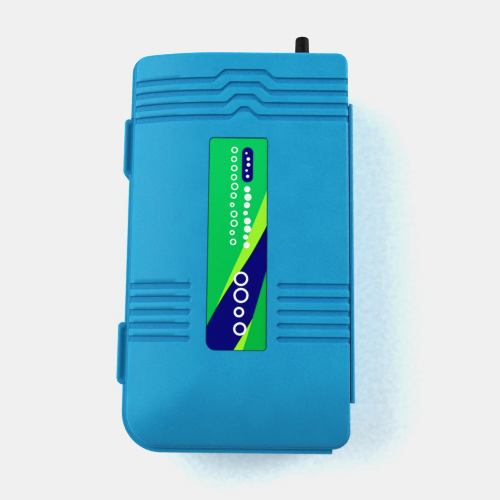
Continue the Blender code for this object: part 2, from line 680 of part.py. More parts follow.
def battery_parts(blue, jacket, nickel):
    """The tray, two cells head to tail, and the contacts that join them in series."""
    tray = prism("battery_tray", rounded(TRAY_BOX, TRAY_RADII), "Z", TRAY_FLOOR, 28.6, blue)
    bay = (TRAY_BOX[2] + TRAY_END, TRAY_BOX[3] - TRAY_END)
    mill(tray, (-OUT_OF_CASE, bay[0], TRAY_SIDE_TOP), (OUT_OF_CASE, bay[1], OUT_OF_CASE))
    for x in (-CELL_X, CELL_X):
        profile = [(CELL_RADIUS + 0.4, bay[0]), (CELL_RADIUS + 0.4, bay[1])]
        combine(tray, turned("trough", profile, (x, CELL_Z), "Y", blue, 36))
        mill(tray, (x - 2.2, bay[1] - 1, 22.6), (x + 2.2, TAB_END, 26.4))
    smooth(tray)

    cell("cell_left", -CELL_X, LOW_PLATE_Y + PLATE_THICK + 0.6 + SPRING_LENGTH, 1, jacket)
    cell("cell_right", CELL_X, LOW_PLATE_Y + PLATE_THICK + 0.3 + NUB_LENGTH, -1, jacket)

    for name, x in (("contact_positive", -CELL_X), ("contact_negative", CELL_X)):
        plate = block(name, (x - 8, HIGH_PLATE_Y - PLATE_THICK, 12.3), (x + 8, HIGH_PLATE_Y, 27.6), nickel)
        tab = block("tab", (x - 1.8, HIGH_PLATE_Y - 0.3, 24.2), (x + 1.8, TAB_END, 24.8), nickel)
        combine(plate, tab, "UNION")
    block("contact_bridge", (-25, LOW_PLATE_Y, 14.3), (25, LOW_PLATE_Y + PLATE_THICK, 27.0), nickel)
    contact_spring("spring_bridge", -CELL_X, LOW_PLATE_Y + PLATE_THICK + 0.3, 1, nickel)
    contact_spring("spring_negative", CELL_X, HIGH_PLATE_Y - PLATE_THICK - 0.3, -1, nickel)


# Mechanism -------------------------------------------------------------------------------------------
def mechanism_cover(finish, steel):
    """The plate over the pump, with a raised panel and four screws into the bosses."""
    plan = rounded(COVER_BOX, (2.0, 2.0, 2.0, 2.5))
    cover = prism("mechanism_cover", plan, "Z", COVER_LOW, COVER_TOP, finish)
    panel = rounded((-26.0, 26.0, 12.0, 62.0), (3.0,) * 4)
    combine(cover, prism("panel", panel, "Z", COVER_LOW + 0.5, COVER_TOP + 0.8, finish), "UNION")
    for i in range(6):
        y = 24.0 + 5.2 * i
        slot = rounded((-14.0, 14.0, y - 1.0, y + 1.0), (0.95,) * 4, steps=3)
        combine(cover, prism("slot", slot, "Z", 0, OUT_OF_CASE, finish))
    for number, (x, y) in enumerate(BOSS_SPOTS, 1):
        drill(cover, 1.4, (x, y), "Z", 0, OUT_OF_CASE, 12)
        drill(cover, 2.6, (x, y), "Z", COVER_TOP - 0.7, OUT_OF_CASE, 16)
        screw(f"cover_screw_{number}", (x, y), "Z", COVER_TOP - 0.4, 19.0, steel)
    return cover


def motor_parts(steel, dark, copper, black):
    """The motor, from the end cap at the left to the eccentric on its shaft at the right."""
    spot = (MOTOR_Y, MOTOR_Z)
    back, front = MOTOR_BACK, MOTOR_FRONT
    inner = MOTOR_RADIUS - 0.6
    profile = [
        (inner, back),
        (MOTOR_RADIUS, back),
        (MOTOR_RADIUS, front - 1.0),
        (MOTOR_RADIUS - 1.0, front),
        (3.0, front),
        (3.0, front + 1.4),
        (1.15, front + 1.4),
        (1.15, front - 0.6),
        (inner, front - 0.6),
    ]
    turned("motor_can", profile, spot, "X", steel, 30, bored=True)
    outer, seat = MOTOR_RADIUS - 0.2, inner - GAP
    cap = [(1.15, back + 2.0), (1.15, back - 3.0), (outer - 1.0, back - 3.0), (outer, back - 2.2)]
    cap += [(outer, back - GAP), (seat, back - GAP), (seat, back + 2.0)]
    end_cap = turned("motor_end_cap", cap, spot, "X", black, 30, bored=True)
    for side in (-1, 1):
        y = MOTOR_Y + side * 6.0
        tag = block("tag", (back - 4.6, y - 1.2, MOTOR_Z - 0.3), (back - 2.5, y + 1.2, MOTOR_Z + 0.3), black)
        combine(end_cap, tag, "UNION")
    for name, start in (("motor_magnet_lower", 205), ("motor_magnet_upper", 25)):
        end = start + 130
        outline = arc(spot, inner - GAP, start, end, 10) + arc(spot, inner - 2.0, end, start, 10)
        prism(name, outline, "X", back + 5, front - 3, dark)

    poles = []
    for pole in range(3):
        middle = 120 * pole + 90
        poles += arc(spot, 7.4, middle - 46, middle + 46, 6)
        poles += arc(spot, 6.0, middle + 46, middle + 46, 1)[:1]
        poles += arc(spot, 2.6, middle + 30, middle + 90, 1)
        poles += arc(spot, 6.0, middle + 74, middle + 74, 1)[:1]
    rotor = prism("motor_rotor", poles, "X", back + 7, front - 5, copper)
    drill(rotor, SHAFT_BORE, spot, "X", back, front, 12)
    start, end = back + 2.6, back + 6.4
    segments = [(SHAFT_BORE, start), (2.2, start), (2.2, end), (SHAFT_BORE, end)]
    turned("motor_commutator", segments, spot, "X", copper, 12, bored=True)
    turned("motor_shaft", [(SHAFT_RADIUS, back - 3.0), (SHAFT_RADIUS, SHAFT_END)], spot, "X", steel, 12)

    disc_centre = (MOTOR_Y + THROW, MOTOR_Z)
    eccentric = turned("eccentric", [(3.0, front + 2.2), (3.0, 1.9)], spot, "X", black, 20)
    disc = turned("disc", [(3.9, ARM_X[0]), (3.9, ARM_X[1])], disc_centre, "X", black, 24)
    combine(eccentric, disc, "UNION")
    drill(eccentric, SHAFT_BORE, spot, "X", front, OUT_OF_CASE, 12)
    ring = [(4.0, ARM_X[0]), (BEARING_RADIUS, ARM_X[0]), (BEARING_RADIUS, ARM_X[1]), (4.0, ARM_X[1])]
    turned("eccentric_bearing", ring, disc_centre, "X", steel, 24, bored=True)


def motor_mount(blue, rubber, steel):
    """Saddle, rubber sleeve and strap that hold the motor, with the strap's screws."""
    spot = (MOTOR_Y, MOTOR_Z)
    low, high = SLEEVE
    inner, outer = MOTOR_RADIUS + 0.2, MOTOR_RADIUS + 1.4
    sleeve = [(inner, low), (outer, low), (outer, high), (inner, high)]
    turned("motor_sleeve", sleeve, spot, "X", rubber, 30, bored=True)
    seat = MOTOR_RADIUS + 1.7
    saddle = block("motor_saddle", (low, MOTOR_Y - 19, TRAY_FLOOR), (high, MOTOR_Y + 19, 11.0), blue)
    drill(saddle, seat, spot, "X", low - 1, high + 1, 30)
    under, top, reach, outer = 11.3, 12.0, 18.5, seat + 0.8
    strap = [(MOTOR_Y + reach, under), (MOTOR_Y + reach, top), (MOTOR_Y + outer, top)]
    strap += arc(spot, outer, 0, 180, 12)
    strap += [(MOTOR_Y - outer, top), (MOTOR_Y - reach, top)]
    strap += [(MOTOR_Y - reach, under), (MOTOR_Y - seat, under)]
    strap += arc(spot, seat, 180, 0, 12) + [(MOTOR_Y + seat, under)]
    middle = (low + high) / 2
    band = prism("motor_strap", strap, "X", middle - 3, middle + 3, steel)
    for name, side in (("strap_screw_lower", -1), ("strap_screw_upper", 1)):
        y = MOTOR_Y + side * 15.9
        drill(band, SCREW_HOLE, (middle, y), "Z", 10, 14, 12)
        drill(saddle, SCREW_HOLE, (middle, y), "Z", 4.0, 14, 12)
        screw(name, (middle, y), "Z", 12.3, 5.0, steel, head=(2.0, 1.2))
    smooth(saddle)
    smooth(band)


def rocker_parts(white, steel, blue):
    """The rocker arm that the eccentric drives, its pin and the bracket on the floor."""
    z = MOTOR_Z
    window = (8.0, BEARING_RADIUS + 2 * THROW + 0.2)
    frame = (window[0] + 2.2, window[1] + 2.0)
    outline = arc((PIVOT_Y, z), 3.4, 40, 320, 8)
    low, high, tip = MOTOR_Y - frame[0], MOTOR_Y + frame[0], HEAD_Y + 3.8
    outline += [(low, z - 3.0), (low + 2, z - frame[1]), (high - 2, z - frame[1]), (high, z - 1.9)]
    outline += [(tip, z - 1.9), (tip, z + 1.9)]
    outline += [(high, z + 1.9), (high - 2, z + frame[1]), (low + 2, z + frame[1]), (low, z + 3.0)]
    arm = prism("rocker_arm", outline, "X", *ARM_X, white)
    box = (MOTOR_Y - window[0], MOTOR_Y + window[0], z - window[1], z + window[1])
    slot = rounded(box, (1.5,) * 4, steps=3)
    sides = (-OUT_OF_CASE, OUT_OF_CASE)
    combine(arm, prism("window", slot, "X", *sides, white))
    drill(arm, PIVOT_RADIUS + 0.15, (PIVOT_Y, z), "X", *sides, 16)
    drill(arm, 1.3, (HEAD_X, HEAD_Y), "Z", 0, OUT_OF_CASE, 12)
    smooth(arm)

    profile = [(PIVOT_RADIUS, ARM_X[0] - 3.2), (PIVOT_RADIUS, ARM_X[1] + 3.2)]
    turned("rocker_pin", profile, (PIVOT_Y, z), "X", steel, 16)
    outer, inner = (ARM_X[0] - 2.8, ARM_X[1] + 2.8), (ARM_X[0] - 0.8, ARM_X[1] + 0.8)
    foot, top = TRAY_FLOOR, z + 3.5
    ears = [(outer[0], foot), (outer[1], foot), (outer[1], top), (inner[1], top)]
    ears += [(inner[1], 5.0), (inner[0], 5.0), (inner[0], top), (outer[0], top)]
    bracket = prism("rocker_bracket", ears, "Y", PIVOT_Y - 3.6, PIVOT_Y + 3.6, blue)
    drill(bracket, PIVOT_RADIUS + 0.1, (PIVOT_Y, z), "X", *sides, 16)


def pump_parts(white, rubber, steel):
    """The pump head on the floor: valve body, flaps, gasket, diaphragm, clamp ring and screws."""
    spot = (HEAD_X, HEAD_Y)
    head = turned("pump_head", [(HEAD_RADIUS, TRAY_FLOOR), (HEAD_RADIUS, 7.8)], spot, "Z", white, 30)
    profile = [(1.6, HEAD_X + 10), (1.6, HEAD_X + 19), (1.3, HEAD_X + 19.6)]
    combine(head, turned("port", profile, (HEAD_Y, PORT_Z), "X", white, 16), "UNION")
    drill(head, PORT_BORE, (HEAD_Y, PORT_Z), "X", HEAD_X + FLAP_REACH - 0.5, OUT_OF_CASE, 12)
    drill(head, PORT_BORE, (HEAD_Y, PORT_Z), "X", -OUT_OF_CASE, HEAD_X - FLAP_REACH + 0.5, 12)
    for name, side in (("inlet_flap", -1), ("outlet_flap", 1)):
        seat = (HEAD_X + side * FLAP_REACH, HEAD_Y)
        drill(head, 3.3, seat, "Z", 6.9, 12, 16)
        drill(head, 0.9, seat, "Z", PORT_Z, 12, 12)
        turned(name, [(2.9, 7.1), (2.9, 7.5)], seat, "Z", rubber, 16)
    ring = [(8.6, 8.05), (HEAD_RADIUS, 8.05), (HEAD_RADIUS, 8.5), (8.6, 8.5)]
    gasket = turned("head_gasket", ring, spot, "Z", rubber, 30, bored=True)
    membrane = [(HEAD_RADIUS, 8.8), (HEAD_RADIUS, 9.6), (8.4, 9.6), (7.6, 10.9), (6.4, 10.9), (5.4, 9.9)]
    membrane += [(3.4, 9.9), (3.0, 12.3), (1.0, 12.3), (1.0, 9.0)]
    membrane += [(5.8, 9.0), (6.8, 10.0), (7.2, 10.0), (8.0, 8.8)]
    diaphragm = turned("diaphragm", membrane, spot, "Z", rubber, 30, bored=True)
    clamp = [(9.0, 9.9), (HEAD_RADIUS, 9.9), (HEAD_RADIUS, 11.8), (9.0, 11.8)]
    clamp_ring = turned("clamp_ring", clamp, spot, "Z", white, 30, bored=True)
    for name, angle in (("head_screw_near", -45), ("head_screw_far", 135)):
        turn = math.radians(angle)
        out = (HEAD_SCREW_REACH * math.cos(turn), HEAD_SCREW_REACH * math.sin(turn))
        place = (spot[0] + out[0], spot[1] + out[1])
        for piece, depth in ((head, 3.5), (gasket, 5), (diaphragm, 5), (clamp_ring, 5)):
            drill(piece, SCREW_HOLE, place, "Z", depth, 20, 12)
        screw(name, place, "Z", 12.1, 4.5, steel, head=(1.9, 1.1))
    washer = [(1.3, 12.55), (3.2, 12.55), (3.2, 13.3), (1.3, 13.3)]
    turned("diaphragm_washer", washer, spot, "Z", steel, 20, bored=True)
    screw("diaphragm_screw", spot, "Z", MOTOR_Z + 2.2, 12.6, steel, head=(2.0, 1.2))


def air_tube(finish):
    """The silicone tube from the pump head to the back of the outlet nozzle."""
    start, bend_in = (HEAD_X + 13.6, HEAD_Y, PORT_Z + 0.3), (HEAD_X + 20.0, HEAD_Y, PORT_Z + 0.3)
    bend_out, end = (NOZZLE_X, HIGH_END - 15.5, NOZZLE_Z), (NOZZLE_X, HIGH_END - 8.6, NOZZLE_Z)
    pulls = (bend_in[0] + 18, *bend_in[1:]), (end[0], bend_out[1] - 22, end[2])
    curve = bezier((bend_in, *pulls, bend_out), 14)
    return swept("air_tube", [Vector(start)] + curve + [Vector(end)], 2.9, finish, sides=12, bore=2.15)


def wires(red, black):
    """The three leads inside the case, each from one terminal to the next."""
    feed = [(-CELL_X, 0.9, 24.5), (-13, 2.4, 24), (0, 3.4, 24), (11, 8, 24), (15, 22, 24), (15, 44, 24)]
    feed += [(11, 60, 22), (0, 67, 20.5), (-11, 68, 18), (SWITCH_X + 3, SWITCH_TAB_Y - 0.9, SWITCH_Z)]
    swept("wire_positive", through(feed, 3), 0.7, red)
    lead = [(SWITCH_X - 3, SWITCH_TAB_Y - 0.9, SWITCH_Z), (-26, 59, 17), (-32, 50, 20), (-38, 44, 20)]
    lead += [(-39.4, 39, 17.5), (-39.4, 35.8, 15.6)]
    swept("wire_switch", through(lead, 3), 0.7, red)
    back = [(CELL_X, 1.0, 24.5), (12, 1.6, 27.6), (0, 2.2, 28.4), (-20, 3, 28.4), (-29, 9, 27)]
    back += [(-37, 12, 22), (-39.4, 16, 17), (-39.4, 20.3, 15.6)]
    swept("wire_negative", through(back, 3), 0.7, black)


# Joints ----------------------------------------------------------------------------------------------
def hang_on(axis_name, spot, names):
    """An empty on a joint's axis, with the pieces that move about it as its children."""
    empty = bpy.data.objects.new(axis_name, None)
    empty.location = [value * UNIT for value in spot]
    bpy.context.scene.collection.objects.link(empty)
    for name in names:
        piece = bpy.data.objects[name]
        piece.parent = empty
        piece.matrix_parent_inverse = Matrix.Translation(-Vector(empty.location))


def build():
    """The whole pump."""
    for old in list(bpy.data.objects):
        bpy.data.objects.remove(old)
    blue = material("case_blue", (0.012, 0.27, 0.54), 0.42)
    black = material("black_plastic", (0.012, 0.012, 0.013), 0.5)
    rubber = material("black_rubber", (0.02, 0.02, 0.02), 0.75)
    white = material("white_plastic", (0.78, 0.77, 0.72), 0.45)
    steel = material("steel", (0.56, 0.57, 0.58), 0.3, 1.0)
    nickel = material("nickel", (0.62, 0.6, 0.55), 0.25, 1.0)
    copper = material("copper", (0.72, 0.33, 0.16), 0.35, 1.0)
    ferrite = material("ferrite", (0.07, 0.07, 0.075), 0.6)
    silicone = material("silicone", (0.75, 0.77, 0.76), 0.35)
    felt = material("felt", (0.62, 0.62, 0.58), 0.95)
    green = material("label_green", (0.01, 0.52, 0.1), 0.3)
    jacket = material("cell_jacket", (0.03, 0.03, 0.035), 0.3)
    red_wire = material("red_wire", (0.6, 0.02, 0.02), 0.4)
    black_wire = material("black_wire", (0.015, 0.015, 0.015), 0.4)

    base_shell(blue)
    lid_shell(blue)
    lid_label(green)
    hinge_web(blue)
    for name, y in (("upper", LATCH_Y), ("lower", -LATCH_Y)):
        latch(f"latch_{name}", y, blue)
        latch_pin(f"latch_pin_{name}", y, steel)
    outlet_parts(black, steel)
    switch_parts(black, steel)
    intake_filter(felt)
    battery_parts(blue, jacket, nickel)
    mechanism_cover(blue, steel)
    motor_parts(steel, ferrite, copper, black)
    motor_mount(blue, rubber, steel)
    rocker_parts(white, steel, blue)
    pump_parts(white, rubber, steel)
    air_tube(silicone)
    wires(red_wire, black_wire)

    hang_on("lid_axis", (HINGE_X, 0, HINGE_Z), ("lid_shell", "lid_label"))
    hang_on("latch_upper_axis", (LATCH_PIN[0], LATCH_Y, LATCH_PIN[1]), ("latch_upper",))
    hang_on("latch_lower_axis", (LATCH_PIN[0], -LATCH_Y, LATCH_PIN[1]), ("latch_lower",))
    hang_on("switch_axis", (SWITCH_X, HIGH_END - 2.0, SWITCH_Z), ("switch_knob",))
    spinning = ("motor_rotor", "motor_commutator", "motor_shaft", "eccentric", "eccentric_bearing")
    hang_on("motor_axis", (MOTOR_BACK, MOTOR_Y, MOTOR_Z), spinning)
    hang_on("rocker_axis", (HEAD_X, PIVOT_Y, MOTOR_Z), ("rocker_arm", "diaphragm_washer", "diaphragm_screw"))


build()
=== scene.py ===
import math

import bmesh
import bpy
import numpy as np
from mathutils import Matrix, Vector


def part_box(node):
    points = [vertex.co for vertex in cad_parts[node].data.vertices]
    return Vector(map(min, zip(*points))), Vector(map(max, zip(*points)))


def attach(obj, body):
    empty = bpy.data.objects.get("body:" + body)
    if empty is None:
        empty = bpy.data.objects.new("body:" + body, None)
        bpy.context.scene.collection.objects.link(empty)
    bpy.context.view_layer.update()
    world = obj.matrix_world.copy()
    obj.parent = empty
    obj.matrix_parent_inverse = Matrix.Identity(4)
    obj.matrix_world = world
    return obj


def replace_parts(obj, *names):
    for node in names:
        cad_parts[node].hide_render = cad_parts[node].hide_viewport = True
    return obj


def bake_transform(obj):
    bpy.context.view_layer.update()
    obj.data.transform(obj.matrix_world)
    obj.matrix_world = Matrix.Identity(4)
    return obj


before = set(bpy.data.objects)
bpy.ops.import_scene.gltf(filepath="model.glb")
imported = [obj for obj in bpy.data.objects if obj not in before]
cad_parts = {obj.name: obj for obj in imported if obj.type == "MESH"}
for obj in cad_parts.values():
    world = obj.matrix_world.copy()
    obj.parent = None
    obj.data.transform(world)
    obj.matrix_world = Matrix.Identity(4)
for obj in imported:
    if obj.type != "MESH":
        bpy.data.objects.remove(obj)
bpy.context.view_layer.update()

# Sizes are in millimetres, in the frame's own axes, and MM turns them into metres where a mesh is made.
MM = 0.001
BEYOND = 60.0  # a cut that has to pass right through a piece reaches to here


def span(node):
    """Lowest and highest corner of a CAD node, in millimetres."""
    low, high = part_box(node)
    return [value / MM for value in low], [value / MM for value in high]


# Lid: the lip's outline, the crowned face and what is sunk into it ------------------------------------
LID_BOX_LOW, LID_BOX_HIGH = span("lid_shell")
HALF_WIDTH, HIGH_END, LID_TOP = LID_BOX_HIGH
LOW_END = LID_BOX_LOW[1]
CASE_BOX = (-HALF_WIDTH, HALF_WIDTH, LOW_END, HIGH_END)
CASE_RADII = (14.0, 7.0, 7.2, 6.5)  # lower left, lower right, upper right, upper left
ROUND_STEPS = 14
LID_LOW = 32.3
LIP_TOP = LID_LOW + 1.1
LIP_STEP = 0.7
LIP_EDGE = 0.28
DRAFT = 0.25
END_RELIEF = 0.9  # share of the draft that the walls at the high end and on the hinge side leave out
RELIEF_START, RELIEF_FULL = 28.0, 38.0  # across the lid, where the hinge side's share of that builds up
TOP_ROUND = 2.4
ROUND_TURNS = 9  # rings in the rounded shoulder between wall and face ...
FACE_RING = 0.4  # ... and where the one between it and the face's own grid lies
FACE_MARGIN = 4.8  # from here inwards the lid is all face
CROWN_START, CROWN_RADIUS = -7.5, 100.0  # the face curves down to the left of here ...
LOW_CROWN_START, LOW_CROWN_RADIUS = -47.5, 70.0  # ... and below here, towards the low end
LID_WALL = 1.7
INNER_MARGIN, INNER_INSET, INNER_ROUND = 6.2, 3.9, 1.2
INNER_RADII = (14.0, 9.0, 9.0, 9.0)
TONGUE_INSET, TONGUE_WALL, TONGUE_LOW = 3.5, 1.2, 29.0
KEEPER_HALF, KEEPER_LOW, KEEPER_WINDOW_TOP = 9.5, LID_BOX_LOW[2], 31.0

GROOVE_DEPTH = 0.7
GROOVE_HALF = 1.25
GROOVE_EDGE = 0.3  # width of the rounded slope between face and groove floor ...
LOWER_EDGE = 2.2  # ... and how many times wider it is along the groove's lower side
GROOVE_PITCH = 5.27
# Faces on a groove's floor are given painted shade, the darker blue.
GROOVE_FLOOR = 0.7  # share of the depth below which a face belongs to the groove's floor
CHEVRON_FIRST, CHEVRON_COUNT = 52.75, 4
CHEVRON_CENTRE = 1.5
CHEVRON_RISE, CHEVRON_RUN = 3.45, 3.8
CHEVRON_FLAT, CHEVRON_GROWTH = 4.2, 4.6
CHEVRON_SOFT = 0.55  # how far the bends are rounded
BAR_MIDDLE, BAR_COUNT = -26.8, 5
BAR_ENDS = (-18.8, 15.2)

LABEL_LOW, LABEL_HIGH = span("lid_label")
LABEL_BOX = (LABEL_LOW[0], LABEL_HIGH[0], LABEL_LOW[1], LABEL_HIGH[1])
LABEL_RADII = (3.6, 1.2, 1.3, 1.6)
LABEL_GAP = 0.3
RECESS_FLOOR = LID_TOP - 0.5
RECESS_EDGE = 0.16
MOAT_DEPTH, MOAT_WIDTH, MOAT_EDGE = 0.4, 0.42, 0.08  # the narrow channel around the label
LABEL_THICK = 0.14
LABEL_ROWS = 46.0  # the label and its channel lie between these rows, above and below the middle

# Base -------------------------------------------------------------------------------------------------
BASE_LOW, BASE_HIGH = span("base_shell")
BASE_HEIGHT = BASE_HIGH[2]
BACK_ROUND = 3.0
BASE_INSET_LOW, BASE_INSET_HIGH = 1.9, 0.8
BASE_WALL = 2.0
RIM_BOX = (-HALF_WIDTH - 1.4, HALF_WIDTH - 7.0, BASE_LOW[1], BASE_HIGH[1])
RIM_RADII = (16.0, 0.6, 0.6, 7.9)
RIM_HEIGHT = 2.0
RIM_NOTCH_HALF = 12.2
RIM_EDGE = 0.4
BOSS_BORE, BOSS_BORE_LOW = 1.2, 17.0
NOZZLE_HOLE, SWITCH_SCREW_HOLE = 3.2, 1.1
SWITCH_HALF_WIDTH, SWITCH_HALF_HEIGHT = 4.6, 2.1
VENT_PITCH = 4.0
VENT_SLOT, VENT_SLOT_RADIUS = (-5.5, 5.5, -0.7, 0.7), 0.69

# Latches and hinge ------------------------------------------------------------------------------------
LATCH_HALF_LENGTH = 12.7
LUG_THICK = 3.2
LUG_TOP = 25.0
LUG_ROOT_X = -43.0
LUG_FOOT = 5.5  # how far the lugs reach below the pin
LUG_HOLE, LUG_SKIN = 1.0, 1.2  # the pin's blind holes and what closes their ends
LATCH_SHOULDER = 2.2
LATCH_RADII = (3.0, 0.5, 0.5, 1.8)  # corners of the head and of the lugs, seen from above
HEAD_INNER_X = -44.9
HEAD_LOW, HEAD_TOP = 25.7, 29.4
HEAD_ROUND = 0.9
HOLLOW_DEPTH = 0.75  # the head's top slopes down to a hollow this deep ...
RIDGE = 1.2  # ... inside a ridge this wide
HOLLOW_RADII = (2.4, 2.4, 2.4, 2.4)
HOLLOW_SLOPE = 2.1
KNUCKLE_RADIUS = 2.3
NOSE_HALF = 6.5
NOSE_TIP_X = -41.9
NOTCH_LOW = 28.3
NOTCH_HALF = NOSE_HALF + 0.7
NOTCH_X = (-46.0, -40.0)  # from outside the base's left wall to inside it
PIN_RADIUS, PIN_CLEARANCE = 0.9, 0.1
WEB_RADIUS, WEB_THICK = 1.7, 0.5
WEB_STEPS, WEB_RIB, WEB_RIBS = 48, 0.05, 12  # ribs along the web's outer face

AXES = {"X": (1, 2, 0), "Y": (0, 2, 1), "Z": (0, 1, 2)}


def middle(node):
    """Centre of a CAD node's box, in millimetres."""
    low, high = span(node)
    return [(a + b) / 2 for a, b in zip(low, high)]


# Node trees -------------------------------------------------------------------------------------------
class Tree:
    """A material's node tree. Each method adds one node and gives back its output."""

    def __init__(self, name):
        self.material = bpy.data.materials.new(name)
        self.material.use_nodes = True
        self.nodes = self.material.node_tree.nodes
        self.links = self.material.node_tree.links
        self.shader = self.nodes["Principled BSDF"]
        self.place = self.nodes.new("ShaderNodeTexCoord").outputs["Object"]

    def feed(self, socket, value):
        if isinstance(value, bpy.types.NodeSocket):
            self.links.new(value, socket)
        else:
            socket.default_value = value

    def add(self, kind, inputs, output=0, **settings):
        node = self.nodes.new(kind)
        for key, value in settings.items():
            setattr(node, key, value)
        for key, value in inputs.items():
            self.feed(node.inputs[key], value)
        return node.outputs[output]

    def math(self, operation, a, b=0.0, c=0.0):
        return self.add("ShaderNodeMath", {0: a, 1: b, 2: c}, operation=operation)

    def scaled(self, stretch):
        """The object's coordinates, stretched differently along each axis."""
        return self.add("ShaderNodeVectorMath", {0: self.place, 1: stretch}, operation="MULTIPLY")

    def noise(self, size, detail=2.0, stretch=(1.0, 1.0, 1.0), rough=0.5):
        """Noise whose patches are about size millimetres across."""
        scale = 1.0 / (size * MM)
        inputs = {"Vector": self.scaled(stretch), "Scale": scale, "Detail": detail, "Roughness": rough}
        return self.add("ShaderNodeTexNoise", inputs)

    def fit(self, value, low, high, to_low=0.0, to_high=1.0):
        inputs = {"Value": value, "From Min": low, "From Max": high, "To Min": to_low, "To Max": to_high}
        return self.add("ShaderNodeMapRange", inputs, interpolation_type="SMOOTHSTEP")

    def mix(self, share, a, b):
        inputs = {"Factor": share, 6: a, 7: b}
        return self.add("ShaderNodeMix", inputs, output=2, data_type="RGBA")

    def bump(self, height, depth):
        """Relief whose full height is depth millimetres."""
        return self.add("ShaderNodeBump", {"Height": height, "Distance": depth * MM, "Strength": 1.0})

    def split(self):
        """The X, Y and Z coordinates in millimetres."""
        grown = self.add("ShaderNodeVectorMath", {0: self.place, "Scale": 1 / MM}, operation="SCALE")
        node = self.nodes.new("ShaderNodeSeparateXYZ")
        self.links.new(grown, node.inputs[0])
        return node.outputs

    def finish(self, **inputs):
        for key, value in inputs.items():
            self.feed(self.shader.inputs[key.replace("_", " ")], value)
        return self.material


def rgb(red, green, blue):
    """A linear colour from its 8 bit screen values."""
    def linear(value):
        share = value / 255
        return share / 12.92 if share <= 0.04045 else ((share + 0.055) / 1.055) ** 2.4
    return (linear(red), linear(green), linear(blue), 1.0)


def moulded(name, light, dark, roughness, grain=0.16, relief=0.006, glow=0.0, shine=0.5):
    """Injection moulded plastic: faint mottling, fine tool texture and slightly uneven sheen."""
    tree = Tree(name)
    mottle = tree.noise(9.0, 3.0)
    fine = tree.noise(grain, 3.0, rough=0.6)
    speck = tree.noise(grain * 4, 2.0)
    shade = tree.mix(tree.fit(mottle, 0.3, 0.7), dark, light)
    shade = tree.mix(tree.fit(speck, 0.25, 0.75, 0.0, 0.03), shade, (1.0, 1.0, 1.0, 1.0))
    sheen = tree.fit(tree.math("ADD", mottle, fine), 0.6, 1.4, roughness - 0.06, roughness + 0.08)
    height = tree.math("ADD", fine, tree.math("MULTIPLY", speck, 0.8))
    made = tree.finish(Base_Color=shade, Roughness=sheen, Normal=tree.bump(height, relief), IOR=1.49,
                       Specular_IOR_Level=shine)
    if glow:
        tree.finish(Subsurface_Weight=glow, Subsurface_Scale=MM, Subsurface_Radius=(0.4, 1.2, 1.8))
    return made


def metal(name, light, dark, roughness, lines=(1.0, 12.0, 12.0)):
    """Drawn or plated metal: fine lines along one axis, with small dull patches."""
    tree = Tree(name)
    brushed = tree.noise(1.6, 3.0, lines, 0.65)
    patch = tree.noise(2.5, 3.0)
    shade = tree.mix(tree.fit(patch, 0.35, 0.7), light, dark)
    sheen = tree.fit(tree.math("ADD", brushed, patch), 0.7, 1.3, roughness - 0.06, roughness + 0.14)
    relief = tree.bump(brushed, 0.006)
    return tree.finish(Base_Color=shade, Roughness=sheen, Metallic=1.0, Normal=relief)


def felt(name):
    """Pressed fibres: tangled fine noise in two directions, fully matt."""
    tree = Tree(name)
    one = tree.noise(0.9, 4.0, (1.0, 1.0, 7.0), 0.7)
    two = tree.noise(0.9, 4.0, (7.0, 1.0, 1.0), 0.7)
    fibres = tree.math("ADD", one, two)
    shade = tree.mix(tree.fit(fibres, 0.7, 1.3), rgb(150, 148, 138), rgb(214, 212, 202))
    return tree.finish(Base_Color=shade, Roughness=0.95, Normal=tree.bump(fibres, 0.12), Sheen_Weight=0.4)


def soft_silicone(name):
    """Clear silicone tube, milky and a little dusty."""
    tree = Tree(name)
    haze = tree.noise(1.8, 4.0)
    shade = tree.mix(tree.fit(haze, 0.3, 0.7), rgb(205, 212, 210), rgb(232, 236, 234))
    sheen = tree.fit(haze, 0.3, 0.7, 0.22, 0.38)
    relief = tree.bump(tree.noise(0.5), 0.01)
    return tree.finish(
        Base_Color=shade, Roughness=sheen, Normal=relief, Transmission_Weight=0.45, Subsurface_Weight=0.2,
        Subsurface_Scale=MM, Subsurface_Radius=(1.0, 1.0, 1.0), IOR=1.41,
    )


def jacket(name, node):
    """A cell's printed sleeve: dark body, copper coloured collar, pale lines, and bare steel at both ends."""
    low, high = span(node)
    tree = Tree(name)
    along = tree.split()[1]
    nub_high = node == "cell_left"
    start, end = (low[1], high[1]) if nub_high else (high[1], low[1])
    share = tree.fit(along, start, end)
    collar = tree.math("GREATER_THAN", share, 0.72)
    ripple = tree.noise(0.4, 3.0)
    shade = tree.mix(collar, rgb(24, 26, 30), rgb(196, 116, 52))
    for place in (0.16, 0.69):
        line = tree.math("COMPARE", share, place, 0.006)
        shade = tree.mix(line, shade, rgb(226, 226, 222))
    centre = [v * MM for v in middle(node)]
    distance = tree.add("ShaderNodeVectorMath", {0: tree.place, 1: centre}, operation="SUBTRACT")
    flat = tree.add("ShaderNodeVectorMath", {0: distance, 1: (1.0, 0.0, 1.0)}, operation="MULTIPLY")
    reach = tree.add("ShaderNodeVectorMath", {0: flat}, output="Value", operation="LENGTH")
    bare = tree.math("LESS_THAN", reach, (high[0] - low[0]) / 2 * MM - 0.0011)
    shade = tree.mix(bare, shade, rgb(186, 186, 182))
    sheen = tree.fit(ripple, 0.3, 0.7, 0.2, 0.32)
    relief = tree.bump(ripple, 0.008)
    return tree.finish(Base_Color=shade, Roughness=sheen, Metallic=bare, Normal=relief, Coat_Weight=0.3)


